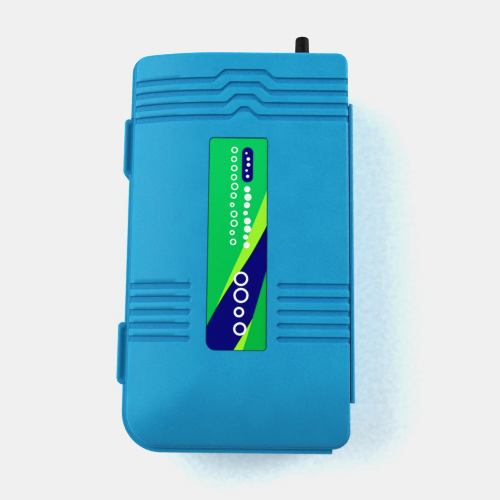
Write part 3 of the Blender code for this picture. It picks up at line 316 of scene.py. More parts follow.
def printed_label(name):
    """The decal: waves of green, lime and navy with columns of plain white bubbles, under a clear film."""
    tree = Tree(name)
    x, y, _ = tree.split()
    across = tree.math("SUBTRACT", x, LABEL_BOX[0])
    up = tree.math("SUBTRACT", y, LABEL_BOX[2])
    width = LABEL_BOX[1] - LABEL_BOX[0]
    swell = tree.math("MULTIPLY", tree.math("SINE", tree.math("MULTIPLY", across, math.tau / width)), 0.9)
    level = tree.math("SUBTRACT", up, swell)

    def below(start, slope, soft=0.12):
        """1 under a line that starts at a height on the left edge and rises to the right."""
        edge = tree.math("SUBTRACT", tree.math("MULTIPLY_ADD", across, slope, start), level)
        return tree.fit(edge, -soft, soft)

    top_green, low_green = rgb(12, 202, 120), rgb(4, 190, 92)
    lime, navy, dark = rgb(170, 236, 70), rgb(18, 8, 140), rgb(8, 40, 60)
    shade = tree.mix(tree.fit(up, 20.0, 80.0), rgb(2, 196, 104), top_green)
    shade = tree.mix(below(6.6, 2.46), shade, lime)
    shade = tree.mix(below(9.4, 1.72), shade, dark)
    shade = tree.mix(below(8.8, 1.70), shade, navy)
    shade = tree.mix(below(-19.6, 1.86), shade, dark)
    shade = tree.mix(below(-20.2, 1.86), shade, lime)
    shade = tree.mix(below(-48.0, 3.4), shade, low_green)

    def bubbles(centre, low, high, pitch, largest, ring):
        """White circles in a column, each with its own size; ring leaves only an outline that thick."""
        step = tree.math("DIVIDE", tree.math("SUBTRACT", up, low), pitch)
        own = tree.add("ShaderNodeTexWhiteNoise", {"W": tree.math("FLOOR", step)}, noise_dimensions="1D")
        inside = tree.math("MULTIPLY", tree.math("SUBTRACT", tree.math("FRACT", step), 0.5), pitch)
        sway = tree.math("MULTIPLY_ADD", own, 1.0, centre - 0.5)
        offset = tree.math("SUBTRACT", across, sway)
        squares = tree.math("ADD", tree.math("POWER", offset, 2.0), tree.math("POWER", inside, 2.0))
        reach = tree.math("SQRT", squares)
        radius = tree.math("MULTIPLY_ADD", own, largest * 0.4, largest * 0.6)
        depth = tree.math("SUBTRACT", radius, reach)
        disc = tree.fit(depth, -0.06, 0.06)
        if ring:
            disc = tree.math("MULTIPLY", disc, tree.fit(depth, ring + 0.06, ring - 0.06))
        within = tree.math("MULTIPLY", tree.math("GREATER_THAN", up, low), tree.math("LESS_THAN", up, high))
        return tree.math("MULTIPLY", disc, within)

    white = rgb(240, 244, 246)
    pill_low, pill_high, pill_half, pill_x = 69.5, 79.5, 2.3, 15.4
    drop = tree.math("SUBTRACT", up, tree.math("MINIMUM", tree.math("MAXIMUM", up, pill_low), pill_high))
    aside = tree.math("SUBTRACT", across, pill_x)
    squares = tree.math("ADD", tree.math("POWER", aside, 2.0), tree.math("POWER", drop, 2.0))
    depth = tree.math("SUBTRACT", pill_half, tree.math("SQRT", squares))
    shade = tree.mix(tree.fit(depth, -0.06, 0.06), shade, navy)
    for column in (
        (9.9, 41.0, 82.5, 3.77, 1.5, 0.42),
        (15.3, 40.0, 66.0, 3.25, 1.45, 0.0),
        (15.4, 68.5, 80.5, 2.4, 0.75, 0.0),
        (13.0, 5.0, 31.5, 6.6, 3.1, 0.8),
    ):
        shade = tree.mix(bubbles(*column), shade, white)
    grain = tree.noise(0.25, 3.0)
    shade = tree.mix(tree.fit(grain, 0.3, 0.7, 0.0, 0.07), shade, dark)
    sheen = tree.fit(tree.noise(3.0, 3.0), 0.3, 0.7, 0.2, 0.34)
    relief = tree.bump(tree.noise(2.4, 2.0), 0.012)
    return tree.finish(Base_Color=shade, Roughness=sheen, Normal=relief, Specular_IOR_Level=0.2)


FLOOR_GLOW = 0.27


def table_top(name):
    """Pale matt paper with the faintest mottling, lit a little from below like a light table."""
    tree = Tree(name)
    shade = tree.mix(tree.fit(tree.noise(2.2, 5.0), 0.3, 0.7), rgb(228, 232, 233), rgb(238, 241, 242))
    relief = tree.bump(tree.noise(0.8, 4.0), 0.05)
    return tree.finish(
        Base_Color=shade, Roughness=0.8, Normal=relief, Emission_Color=shade, Emission_Strength=FLOOR_GLOW)


BLUE = moulded("polypropylene_blue", rgb(44, 167, 198), rgb(41, 164, 196), 0.42, glow=0.05, shine=0.25)
# A darker copy of the blue for the grooves' floors: painted shade that stands in for the shadow and occlusion
# inside the grooves.
BLUE_GROOVE_SHADE = moulded("polypropylene_painted_groove_shade", rgb(40, 156, 190), rgb(37, 153, 188), 0.5, glow=0.05, shine=0.2)
BLACK = moulded("black_nylon", rgb(20, 20, 22), rgb(12, 12, 13), 0.45, shine=0.2)
RUBBER = moulded("black_rubber", rgb(38, 38, 39), rgb(24, 24, 25), 0.75, grain=0.1, relief=0.012)
WHITE = moulded("white_acetal", rgb(232, 230, 220), rgb(219, 216, 204), 0.4, glow=0.1)
FERRITE = moulded("ferrite", rgb(72, 72, 75), rgb(52, 52, 55), 0.6, grain=0.3, relief=0.02)
RED_WIRE = moulded("red_pvc", rgb(200, 34, 32), rgb(176, 24, 24), 0.4)
BLACK_WIRE = moulded("black_pvc", rgb(34, 34, 36), rgb(20, 20, 21), 0.4)
STEEL = metal("zinc_plated_steel", rgb(206, 208, 210), rgb(172, 174, 178), 0.3)
NICKEL = metal("nickel_plate", rgb(214, 208, 194), rgb(186, 180, 164), 0.26)
COPPER = metal("copper", rgb(206, 128, 84), rgb(168, 92, 56), 0.34)


# Meshes -----------------------------------------------------------------------------------------------
def make(name, points, faces, material):
    """One object from points in millimetres, with its faces turned outwards."""
    mesh = bpy.data.meshes.new(name)
    mesh.from_pydata([tuple(float(v) * MM for v in point) for point in points], [], faces)
    shape = bmesh.new()
    shape.from_mesh(mesh)
    bmesh.ops.recalc_face_normals(shape, faces=shape.faces)
    shape.to_mesh(mesh)
    shape.free()
    made = bpy.data.objects.new(name, mesh)
    bpy.context.scene.collection.objects.link(made)
    made.data.materials.append(material)
    return made


def smooth(piece, degrees=38):
    """Smooth shading, with edges sharper than an angle kept."""
    piece.data.shade_smooth()
    piece.data.set_sharp_from_angle(angle=math.radians(degrees))
    return piece


def loft(name, rings, material, closed=False):
    """A skin over rings of equal point count: capped at both ends, or joined end to end when closed."""
    count = len(rings[0])
    points = [point for ring in rings for point in ring]
    faces = []
    for low in range(len(rings) if closed else len(rings) - 1):
        high = (low + 1) % len(rings)
        for i in range(count):
            j = (i + 1) % count
            faces.append((low * count + i, low * count + j, high * count + j, high * count + i))
    if not closed:
        faces.append(tuple(range(count)))
        faces.append(tuple(range(len(points) - count, len(points))))
    return make(name, points, faces, material)


def placed(first, second, along, axis):
    """A point from its two coordinates across an axis and the one along it."""
    spot = [0.0, 0.0, 0.0]
    for place, value in zip(AXES[axis], (first, second, along)):
        spot[place] = value
    return tuple(spot)


def prism(name, outline, axis, start, end, material=BLUE):
    """An outline extruded along X, Y or Z."""
    return loft(name, [[placed(a, b, along, axis) for a, b in outline] for along in (start, end)], material)


def block(name, low, high, material=BLUE):
    """A rectangular block between two corners."""
    outline = [(low[0], low[1]), (high[0], low[1]), (high[0], high[1]), (low[0], high[1])]
    return prism(name, outline, "Z", low[2], high[2], material)


def turned(name, profile, centre, axis, material=BLUE, segments=48, bored=False):
    """A profile of (radius, along) points turned about an axis through centre. Bored profiles are loops."""
    rings = []
    for radius, along in profile:
        turns = [math.tau * i / segments for i in range(segments)]
        ring = [(centre[0] + radius * math.cos(a), centre[1] + radius * math.sin(a)) for a in turns]
        rings.append([placed(*point, along, axis) for point in ring])
    return smooth(loft(name, rings, material, closed=bored))


def arc(centre, radius, start, end, steps):
    """Points on an arc, in degrees from start to end."""
    angles = [math.radians(start + (end - start) * i / steps) for i in range(steps + 1)]
    return [(centre[0] + radius * math.cos(a), centre[1] + radius * math.sin(a)) for a in angles]


def rounded(box, radii, inset=0.0, steps=ROUND_STEPS):
    """A rectangle whose corners have their own radii, counter-clockwise from the lower left."""
    x0, x1, y0, y1 = (box[0] + inset, box[1] - inset, box[2] + inset, box[3] - inset)
    r = [max(radius - inset, 0.3) for radius in radii]
    return (
        arc((x0 + r[0], y0 + r[0]), r[0], 180, 270, steps)
        + arc((x1 - r[1], y0 + r[1]), r[1], 270, 360, steps)
        + arc((x1 - r[2], y1 - r[2]), r[2], 0, 90, steps)
        + arc((x0 + r[3], y1 - r[3]), r[3], 90, 180, steps)
    )


def slab(name, box, radii, levels, material=BLUE):
    """A rounded rectangle lofted through (inset, height) levels."""
    rings = [[(x, y, z) for x, y in rounded(box, radii, inset)] for inset, z in levels]
    return loft(name, rings, material)


def soft_edge(inset, low, high, radius, steps=4):
    """Levels of a slab between two heights, with both edges rounded."""
    turns = [math.pi / 2 * i / steps for i in range(steps + 1)]
    bottom = [(inset + radius * (1 - math.sin(a)), low + radius * (1 - math.cos(a))) for a in turns]
    return bottom + [(place, low + high - z) for place, z in reversed(bottom)]


def combine(target, tool, operation="DIFFERENCE"):
    """A Boolean of two closed meshes, kept in the first. The second is used up."""
    modifier = target.modifiers.new(operation, "BOOLEAN")
    modifier.object = tool
    modifier.operation = operation
    modifier.solver = "MANIFOLD"
    baked(target)
    bpy.data.objects.remove(tool)
    return target


def baked(piece):
    """The piece with its modifiers applied."""
    graph = bpy.context.evaluated_depsgraph_get()
    mesh = bpy.data.meshes.new_from_object(piece.evaluated_get(graph))
    piece.modifiers.clear()
    piece.data = mesh
    return piece


def softened(piece, width, segments=3, degrees=32):
    """The piece with its sharp edges rounded."""
    modifier = piece.modifiers.new("edges", "BEVEL")
    modifier.width = width * MM
    modifier.segments = segments
    modifier.limit_method = "ANGLE"
    modifier.angle_limit = math.radians(degrees)
    return baked(piece)


def drill(target, radius, centre, axis, start, end, segments=32):
    """A round hole."""
    return combine(target, turned("drill", [(radius, start), (radius, end)], centre, axis, segments=segments))


def mill(target, low, high):
    """A rectangular hole between two corners."""
    return combine(target, block("mill", low, high))


# Lid --------------------------------------------------------------------------------------------------
def step(value):
    """0 below 0, 1 above 1, and a smooth turn between them."""
    share = np.clip(value, 0.0, 1.0)
    return share * share * (3 - 2 * share)


def fall(distance, radius):
    """How far a curve of a given radius has dropped at a distance past its start."""
    return radius - np.sqrt(radius**2 - np.maximum(distance, 0.0) ** 2)


def crown(x, y):
    """Height of the lid's face, which falls away to the left and to the low end."""
    side, end = fall(CROWN_START - x, CROWN_RADIUS), fall(LOW_CROWN_START - y, LOW_CROWN_RADIUS)
    return LID_TOP - (side**4 + end**4) ** 0.25


def chevron_row(index):
    """Height of an upper groove's middle, beside its chevron."""
    return CHEVRON_FIRST + GROOVE_PITCH * index


def bar_row(index):
    """Height of a side groove's middle."""
    return BAR_MIDDLE + GROOVE_PITCH * (index - (BAR_COUNT - 1) / 2)


def chevron_shift(x, row):
    """How far a mesh row is lifted at x so that it runs along the chevrons, mitred like them."""
    slant = math.tan(math.atan2(CHEVRON_RISE, CHEVRON_RUN) / 2)
    rows, halves = [], []
    for index in range(CHEVRON_COUNT):
        half = (CHEVRON_FLAT + CHEVRON_GROWTH * index) / 2
        for side in (-1, 1):
            reach = side * (GROOVE_HALF + GROOVE_EDGE)
            rows.append(chevron_row(index) + reach)
            halves.append(half - slant * reach)
    half = np.interp(row, rows, halves)
    fade_low, fade_high = rows[0] - 4.0, HIGH_END - FACE_MARGIN
    amount = np.interp(row, [fade_low, rows[0], rows[-1], fade_high], [0.0, 1.0, 1.0, 0.0])
    lift = np.zeros_like(x)
    for shift in (-1.0, -0.5, 0.0, 0.5, 1.0):
        aside = np.abs(x - CHEVRON_CENTRE + shift * CHEVRON_SOFT)
        lift = lift + np.clip((half + CHEVRON_RUN - aside) / CHEVRON_RUN, 0.0, 1.0) / 5
    return CHEVRON_RISE * amount * lift


def sunk(x, y, row):
    """How deep the lid's surface lies below its plain form: grooves and the label's recess."""
    def groove(distance, aside):
        edge = np.where(aside < 0, GROOVE_EDGE * LOWER_EDGE, GROOVE_EDGE)
        return GROOVE_DEPTH * step((GROOVE_HALF + GROOVE_EDGE / 2 - distance) / edge)

    depth = np.zeros_like(x)
    for index in range(CHEVRON_COUNT):
        aside = row - chevron_row(index)
        depth = np.maximum(depth, groove(np.abs(aside), aside))
    for index in range(BAR_COUNT):
        aside = row - bar_row(index)
        for end, side in zip(BAR_ENDS, (-1, 1)):
            past = np.maximum(side * (end + side * GROOVE_HALF - x), 0.0)
            depth = np.maximum(depth, groove(np.hypot(past, aside), aside))
    centre_x, centre_y = (LABEL_BOX[0] + LABEL_BOX[1]) / 2, (LABEL_BOX[2] + LABEL_BOX[3]) / 2
    half_x, half_y = LABEL_BOX[1] - centre_x + LABEL_GAP, LABEL_BOX[3] - centre_y + LABEL_GAP
    lower = np.where(x < centre_x, LABEL_RADII[0], LABEL_RADII[1])
    upper = np.where(x < centre_x, LABEL_RADII[3], LABEL_RADII[2])
    radius = np.where(y < centre_y, lower, upper) + LABEL_GAP
    over_x = np.abs(x - centre_x) - half_x + radius
    over_y = np.abs(y - centre_y) - half_y + radius
    outside = np.hypot(np.maximum(over_x, 0.0), np.maximum(over_y, 0.0))
    distance = outside + np.minimum(np.maximum(over_x, over_y), 0.0) - radius
    recess = (crown(x, y) - RECESS_FLOOR) * step((RECESS_EDGE / 2 - distance) / RECESS_EDGE)
    moat = step((-distance - 0.06) / MOAT_EDGE) * step((MOAT_WIDTH + MOAT_EDGE + distance) / MOAT_EDGE)
    return np.maximum(depth, recess + MOAT_DEPTH * moat)


def stations(low, high, fine, widest):
    """Sorted places from low to high: the fine ones, with more wherever a gap is wider than widest."""
    places = [low]
    for place in sorted(set(fine)) + [high]:
        if not low < place <= high or place - places[-1] < 0.02:
            continue
        parts = math.ceil((place - places[-1]) / widest)
        places += [places[-1] + (place - places[-1]) * i / parts for i in range(1, parts + 1)]
    places[-1] = high
    return np.array(places)


def evenly(low, high, gap):
    count = max(1, round((high - low) / gap))
    return [low + (high - low) * i / count for i in range(count + 1)]


def dome(name, radii, margin, foot, skirt, drop, fillet, detailed):
    """A closed form under the lid's face: a leaning wall from foot (inset, height), a rounded shoulder and
    the crowned face lowered by drop. The skirt lists the (inset, height) rings from the foot down."""
    x0, x1, y0, y1 = CASE_BOX
    left, right, low, high = x0 + margin, x1 - margin, y0 + margin, y1 - margin
    inner = [radius - margin for radius in radii]
    rows = []
    for radius, steps, up in ((inner[0], 14, 1), (inner[1], 9, 1), (inner[2], 7, 0), (inner[3], 7, 0)):
        for i in range(1, steps + 1):
            rise = radius * (1 - math.cos(math.pi / 2 * i / steps))
            rows.append(low + rise if up else high - rise)
    columns = []
    if detailed:
        border = (-0.2, -0.08, -0.03, 0.03, 0.08, 0.14, 0.3, MOAT_WIDTH, MOAT_WIDTH + MOAT_EDGE, 0.7)
        shares = (-1.2, -0.8, -0.4, 0, 0.2, 0.4, 0.6, 0.8, 1.0)
        edge = [GROOVE_HALF + GROOVE_EDGE * (share - 0.5) for share in shares]
        for centre in [chevron_row(i) for i in range(CHEVRON_COUNT)] + [bar_row(i) for i in range(BAR_COUNT)]:
            rows += [centre + side * away for away in [0.0, 0.6] + edge for side in (-1, 1)]
        for place, side in ((LABEL_BOX[2], 1), (LABEL_BOX[3], -1)):
            rows += [place - side * LABEL_GAP + side * away for away in border]
            rows += evenly(*sorted((place, place + side * 4.2)), 0.24)
        columns = evenly(BAR_ENDS[0] - 1.8, BAR_ENDS[1] + 2.2, 0.3)
        for place, side in ((LABEL_BOX[0], 1), (LABEL_BOX[1], -1)):
            columns += [place - side * LABEL_GAP + side * away for away in border]
    rows = stations(low, high, rows, 2.0)
    columns = stations(left, right, columns, 2.0)

    def ends(y):
        """Where a row meets the rounded corners, on the left and on the right."""
        found = [left, right]
        for radius, side, up in zip(inner, (0, 1, 1, 0), (1, 1, 0, 0)):
            reach = y - low if up else high - y
            if reach < radius:
                bite = radius - math.sqrt(max(radius**2 - (radius - reach) ** 2, 0.0))
                found[side] = left + bite if side == 0 else right - bite
        return found

    fixed_low = columns[np.searchsorted(columns, BAR_ENDS[0] - 1.81)]
    fixed_high = columns[np.searchsorted(columns, BAR_ENDS[1] + 2.21) - 1]
    grid_x = np.zeros((len(rows), len(columns)))
    for j, y in enumerate(rows):
        start, end = ends(y)
        knots, places = [left, fixed_low, fixed_high, right], [start, fixed_low, fixed_high, end]
        grid_x[j] = np.interp(columns, knots, places)
    grid_row = np.repeat(rows[:, None], len(columns), axis=1)
    lift = chevron_shift(grid_x, grid_row) if detailed else 0.0
    grid_y = grid_row + lift
    grid_z = crown(grid_x, grid_y) - drop
    if detailed:
        grid_z = grid_z - sunk(grid_x, grid_y, grid_row)
    points = [np.stack([grid_x, grid_y, grid_z], axis=-1).reshape(-1, 3)]
    depths = [(crown(grid_x, grid_y) - drop - grid_z).reshape(-1)]

    wide, tall = len(columns), len(rows)
    index = np.arange(wide * tall).reshape(tall, wide)
    quads = np.stack([index[:-1, :-1], index[:-1, 1:], index[1:, 1:], index[1:, :-1]], axis=-1).reshape(-1, 4)
    loop = np.concatenate([index[0, :-1], index[:-1, -1], index[-1, :0:-1], index[:0:-1, 0]])

    edge = points[0][loop][:, :2]
    foot_points, inward = np.zeros_like(edge), np.zeros_like(edge)
    for n, (x, y) in enumerate(edge):
        for radius, x_side, y_side in zip(radii, (x0, x1, x1, x0), (y0, y0, y1, y1)):
            corner = (x_side - math.copysign(radius, x_side), y_side - math.copysign(radius, y_side))
            centre = np.array(corner)
            away = centre - (x, y)
            if away[0] * x_side < -1e-6 and away[1] * y_side < -1e-6:
                inward[n] = away / np.hypot(*away)
                foot_points[n] = centre - radius * inward[n]
                break
        else:
            gaps = (x - left, right - x, y - low, high - y)
            side = gaps.index(min(gaps))
            inward[n] = ((1, 0), (-1, 0), (0, 1), (0, -1))[side]
            foot_points[n] = np.array([x, y]) - margin * inward[n]

    def face(inset):
        """Height of the face over the edge's points, each moved in by its own inset."""
        spot = foot_points + np.reshape(inset, (-1, 1)) * inward
        return crown(spot[:, 0], spot[:, 1]) - drop

    corner = np.full(len(edge), foot[0])
    for _ in range(6):
        corner = foot[0] + DRAFT * (face(corner) - foot[1])
    slope = (face(corner + 0.01) - face(corner - 0.01)) / 0.02
    wall_normal = np.repeat(np.array([[-1.0, DRAFT]]) / math.hypot(1, DRAFT), len(edge), axis=0)
    face_normal = np.stack([-slope, np.ones_like(slope)], axis=-1) / np.hypot(slope, 1.0)[:, None]
    peak = np.stack([corner, face(corner)], axis=-1)
    fit = 1 + np.sum(wall_normal * face_normal, axis=-1, keepdims=True)
    centre = peak - fillet * (wall_normal + face_normal) / fit
    wall_end = centre + fillet * wall_normal

    rings = []
    for share in (0.0, 0.3, 0.65, 1.0):
        spot = np.array([foot]) * (1 - share) + wall_end * share
        rings.append((spot, np.repeat([[-1.0, 0.0]], len(edge), axis=0)))
    for i in range(1, ROUND_TURNS + 1):
        share = i / ROUND_TURNS
        blend = wall_normal * (1 - share) + face_normal * share
        blend = blend / np.linalg.norm(blend, axis=-1, keepdims=True)
        push = np.array([[-1.0, 0.0]]) * (1 - share) + face_normal * share
        push = push / np.linalg.norm(push, axis=-1, keepdims=True)
        rings.append((centre + fillet * blend, push))
    face_start = rings[-1][0][:, 0]
    inset = face_start * (1 - FACE_RING) + margin * FACE_RING
    rings.append((np.stack([inset, face(inset)], axis=-1), face_normal))

    ring_rows = grid_row.reshape(-1)[loop]
    order = [loop]
    total = wide * tall
    for spot, push in reversed(rings):
        flat = foot_points + spot[:, :1] * inward
        depth = sunk(flat[:, 0], flat[:, 1], ring_rows) if detailed else np.zeros(len(edge))
        flat = flat - depth[:, None] * push[:, :1] * inward
        height = spot[:, 1] - depth * push[:, 1]
        points.append(np.column_stack([flat, height]))
        depths.append(depth)
        order.append(np.arange(total, total + len(edge)))
        total += len(edge)
    for inset, z in skirt:
        flat = foot_points + inset * inward
        points.append(np.column_stack([flat, np.full(len(edge), z)]))
        depths.append(np.zeros(len(edge)))
        order.append(np.arange(total, total + len(edge)))
        total += len(edge)
    sides = [
        np.stack([inside, np.roll(inside, -1), np.roll(outside, -1), outside], axis=-1)
        for inside, outside in zip(order, order[1:])
    ]
    faces = [tuple(int(v) for v in quad) for quad in np.concatenate([quads] + sides)]
    faces.append(tuple(int(v) for v in order[-1]))
    points = np.concatenate(points)
    point_rows = np.concatenate([grid_row.reshape(-1)] + [ring_rows] * (len(order) - 1))
    straight_from, corner_from = chevron_row(CHEVRON_COUNT - 1) + 2.0, HIGH_END - max(radii[2:])
    share = step((point_rows - straight_from) / (corner_from - straight_from))
    upright = END_RELIEF * DRAFT * np.maximum(points[:, 2] - foot[1], 0.0)
    points[:, 1] += upright * share
    points[:, 0] += upright * step((points[:, 0] - RELIEF_START) / (RELIEF_FULL - RELIEF_START))
    made = make(name, points, faces, BLUE)
    if detailed:
        # Painted shade: faces low on the groove floors, away from the label, take the darker blue in place of
        # the grooves' own shadow.
        beside = (points[:, 0] > LABEL_BOX[0] - 1) & (points[:, 0] < LABEL_BOX[1] + 1)
        label_side = beside & (np.abs(point_rows) < LABEL_ROWS)
        deep = np.where(label_side, 0.0, np.concatenate(depths))
        made.data.materials.append(BLUE_GROOVE_SHADE)
        for polygon in made.data.polygons:
            if deep[list(polygon.vertices)].mean() > GROOVE_FLOOR * GROOVE_DEPTH:
                polygon.material_index = 1
    return made


def lid_cover():
    """The lid: lip, leaning wall, crowned and grooved face, tongue below and the latches' two keepers."""
    e = LIP_EDGE
    lip = [(e, LIP_TOP), (e * 0.3, LIP_TOP - e * 0.3), (0.0, LIP_TOP - e)]
    lip += [(0.0, LID_LOW + e), (e * 0.3, LID_LOW + e * 0.3), (e, LID_LOW), (2.2, LID_LOW)]
    lid = dome("lid", CASE_RADII, FACE_MARGIN, (LIP_STEP, LIP_TOP), lip, 0.0, TOP_ROUND, True)
    inner = TONGUE_INSET + TONGUE_WALL
    soft = [(TONGUE_INSET + 0.4, TONGUE_LOW), (TONGUE_INSET + 0.12, TONGUE_LOW + 0.12)]
    soft.append((TONGUE_INSET, TONGUE_LOW + 0.4))
    combine(lid, slab("tongue", CASE_BOX, CASE_RADII, soft + [(TONGUE_INSET, LID_LOW + 0.8)]), "UNION")
    skirt = [(inner, LID_LOW + 0.6), (inner, TONGUE_LOW + 0.3)]
    skirt += [(inner - 0.25, TONGUE_LOW), (inner - 0.25, TONGUE_LOW - 2)]
    foot = (INNER_INSET, LID_LOW + 0.9)
    combine(lid, dome("hollow", INNER_RADII, INNER_MARGIN, foot, skirt, LID_WALL, INNER_ROUND, False))
    outer = -HALF_WIDTH + TONGUE_INSET
    for node in ("latch_lower", "latch_upper"):
        y = middle(node)[1]
        keeper_high = (outer + TONGUE_WALL, y + KEEPER_HALF, LID_LOW + 0.3)
        keeper = block("keeper", (outer, y - KEEPER_HALF, KEEPER_LOW), keeper_high)
        combine(lid, softened(keeper, 0.25), "UNION")
        window_low = (outer - 1, y - NOTCH_HALF, NOTCH_LOW)
        mill(lid, window_low, (outer + TONGUE_WALL + 1, y + NOTCH_HALF, KEEPER_WINDOW_TOP))
    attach(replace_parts(smooth(lid, 50), "lid_shell"), "lid")


def label():
    """The decal on the floor of the recess."""
    low, high = RECESS_FLOOR + 0.01, RECESS_FLOOR + LABEL_THICK
    levels = [(0.0, low), (0.0, high - 0.05), (0.05, high)]
    decal = slab("label", LABEL_BOX, LABEL_RADII, levels, printed_label("label_print"))
    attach(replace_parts(smooth(decal), "lid_label"), "lid")


# Base -------------------------------------------------------------------------------------------------
def inset_at(z):
    """How far the base's outer wall stands inside the lip outline at one height."""
    share = (z - BACK_ROUND) / (BASE_HEIGHT - BACK_ROUND)
    return BASE_INSET_LOW + (BASE_INSET_HIGH - BASE_INSET_LOW) * share


def lugs(node):
    """The two ears that hold one latch."""
    y = middle(node)[1]
    pin_x, _, pin_z = middle(node.replace("latch", "latch_pin"))
    outer_x = BASE_LOW[0]
    ends = (y - LATCH_HALF_LENGTH, y + LATCH_HALF_LENGTH)
    shoulder = (outer_x + LATCH_SHOULDER, LUG_TOP - LATCH_SHOULDER)
    side = [(LUG_ROOT_X, LUG_TOP)] + arc(shoulder, LATCH_SHOULDER, 90, 180, 10)
    side += arc((pin_x, pin_z), KNUCKLE_RADIUS, 180, 270, 10) + [(LUG_ROOT_X, pin_z - LUG_FOOT)]
    pair = prism("lugs", side, "Y", *ends)
    plan = prism("plan", rounded((outer_x, 0.0, *ends), LATCH_RADII), "Z", 0, BEYOND)
    pair = combine(pair, plan, "INTERSECT")
    bay = LATCH_HALF_LENGTH - LUG_THICK
    mill(pair, (-BEYOND, y - bay, 5), (wall_face(), y + bay, 40))
    pair = softened(pair, 0.3, 3, 40)
    drill(pair, LUG_HOLE, (pin_x, pin_z), "Y", ends[0] + LUG_SKIN, ends[1] - LUG_SKIN)
    return pair


def wall_face():
    """Just inside the left wall's outer face, so that what joins the wall overlaps it."""
    return -HALF_WIDTH + BASE_INSET_LOW + 0.6


def base():
    """The deep half: walls, rim, latch ears, bosses and the openings in the end wall."""
    levels = []
    for i in range(9):
        angle = math.pi / 2 * i / 8
        inset = BASE_INSET_LOW + BACK_ROUND * (1 - math.sin(angle))
        levels.append((inset, BACK_ROUND * (1 - math.cos(angle))))
    levels += [(inset_at(BASE_HEIGHT - 0.3), BASE_HEIGHT - 0.3), (BASE_INSET_HIGH + 0.25, BASE_HEIGHT)]
    shell = slab("base", CASE_BOX, CASE_RADII, levels)
    rim = slab("rim", RIM_BOX, RIM_RADII, soft_edge(0.0, BASE_HEIGHT - RIM_HEIGHT, BASE_HEIGHT, RIM_EDGE))
    for node in ("latch_lower", "latch_upper"):
        y = middle(node)[1]
        mill(rim, (-BEYOND, y - RIM_NOTCH_HALF, 0), (wall_face(), y + RIM_NOTCH_HALF, BEYOND))
    combine(shell, rim, "UNION")
    for node in ("latch_lower", "latch_upper"):
        combine(shell, lugs(node), "UNION")
    mouth = inset_at(BASE_HEIGHT) + BASE_WALL
    floor = inset_at(BASE_WALL) + BASE_WALL
    levels = [(floor + 1.0, BASE_WALL), (floor + 0.3, BASE_WALL + 0.3)]
    levels += [(floor, BASE_WALL + 1.0), (mouth, BASE_HEIGHT - 0.4)]
    levels += [(mouth - 0.3, BASE_HEIGHT), (mouth - 0.3, BASE_HEIGHT + 2)]
    combine(shell, slab("cavity", CASE_BOX, CASE_RADII, levels))
    boss_top = span("mechanism_cover")[0][2] - 0.3
    for number in range(1, 5):
        x, y, _ = middle(f"cover_screw_{number}")
        profile = [(4.4, 1.0), (4.4, 2.1), (3.6, 2.6), (3.2, 3.6), (3.2, boss_top - 0.3), (2.9, boss_top)]
        combine(shell, turned("boss", profile, (x, y), "Z"), "UNION")
        drill(shell, BOSS_BORE, (x, y), "Z", BOSS_BORE_LOW, 40.0)
    for node in ("latch_lower", "latch_upper"):
        y = middle(node)[1]
        mill(shell, (NOTCH_X[0], y - NOTCH_HALF, NOTCH_LOW), (NOTCH_X[1], y + NOTCH_HALF, BEYOND))
    nozzle = middle("outlet_nozzle")
    inside, outside = HIGH_END - 10.0, HIGH_END + 10.0
    drill(shell, NOZZLE_HOLE, (nozzle[0], nozzle[2]), "Y", inside, outside)
    x, z = middle("switch_body")[0], middle("switch_knob")[2]
    slot_low = (x - SWITCH_HALF_WIDTH, inside, z - SWITCH_HALF_HEIGHT)
    mill(shell, slot_low, (x + SWITCH_HALF_WIDTH, outside, z + SWITCH_HALF_HEIGHT))
    for name in ("switch_screw_left", "switch_screw_right"):
        drill(shell, SWITCH_SCREW_HOLE, (middle(name)[0], z), "Y", inside, outside)
    vent_x, _, vent_z = middle("intake_filter")
    for row in (-1, 0, 1):
        plan = rounded(VENT_SLOT, (VENT_SLOT_RADIUS,) * 4, steps=6)
        slot = [(vent_x + a, vent_z + row * VENT_PITCH + b) for a, b in plan]
        combine(shell, prism("slot", slot, "Y", inside, outside))
    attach(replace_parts(smooth(shell, 35), "base_shell"), "case")


def latch(node):
    """A latch: a head with a ridge round its hollowed top, plate, knuckle round the pin and a nose."""
    y = middle(node)[1]
    x, _, z = middle(node.replace("latch", "latch_pin"))
    outer_x = BASE_LOW[0]
    half = LATCH_HALF_LENGTH - LUG_THICK - 0.2
    outline = [(outer_x, HEAD_LOW + 1)] + arc((x, z), KNUCKLE_RADIUS, 180, 400, 28)
    outline += [(x + 0.2, z + 3.2), (x + 0.2, HEAD_LOW + 1)]
    body = softened(prism(node, outline, "Y", y - half, y + half), 0.25, 3, 30)
    ends = (y - LATCH_HALF_LENGTH, y + LATCH_HALF_LENGTH)
    levels = soft_edge(0.0, HEAD_LOW, HEAD_TOP, HEAD_ROUND, 6)
    head = slab("head", (outer_x, HEAD_INNER_X, *ends), LATCH_RADII, levels)
    inside = (outer_x + RIDGE, HEAD_INNER_X + 4, ends[0] + RIDGE, ends[1] - RIDGE)
    shares = (1.0, 0.85, 0.7, 0.55, 0.4, 0.25, 0.1, 0.0)
    levels = [(HOLLOW_SLOPE * share, HEAD_TOP - HOLLOW_DEPTH * step(share)) for share in shares]
    levels += [(-0.2, HEAD_TOP + 0.02), (-0.2, HEAD_TOP + 1)]
    combine(head, slab("hollow", inside, HOLLOW_RADII, levels))
    combine(body, head, "UNION")
    nose = [(-46.5, 27.2), (HEAD_INNER_X, 27.9), (-43.4, 29.2), (NOSE_TIP_X, 28.7), (NOSE_TIP_X, 29.4)]
    nose += [(NOSE_TIP_X - 0.6, 30.2), (HEAD_INNER_X, 28.35), (-46.5, 28.1)]
    combine(body, softened(prism("nose", nose, "Y", y - NOSE_HALF, y + NOSE_HALF), 0.1, 2), "UNION")
    drill(body, PIN_RADIUS + PIN_CLEARANCE, (x, z), "Y", y - 20, y + 20)
    body.name = f"{node}_tab"
    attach(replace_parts(smooth(body, 30), node), node.split("_")[1] + "_latch")


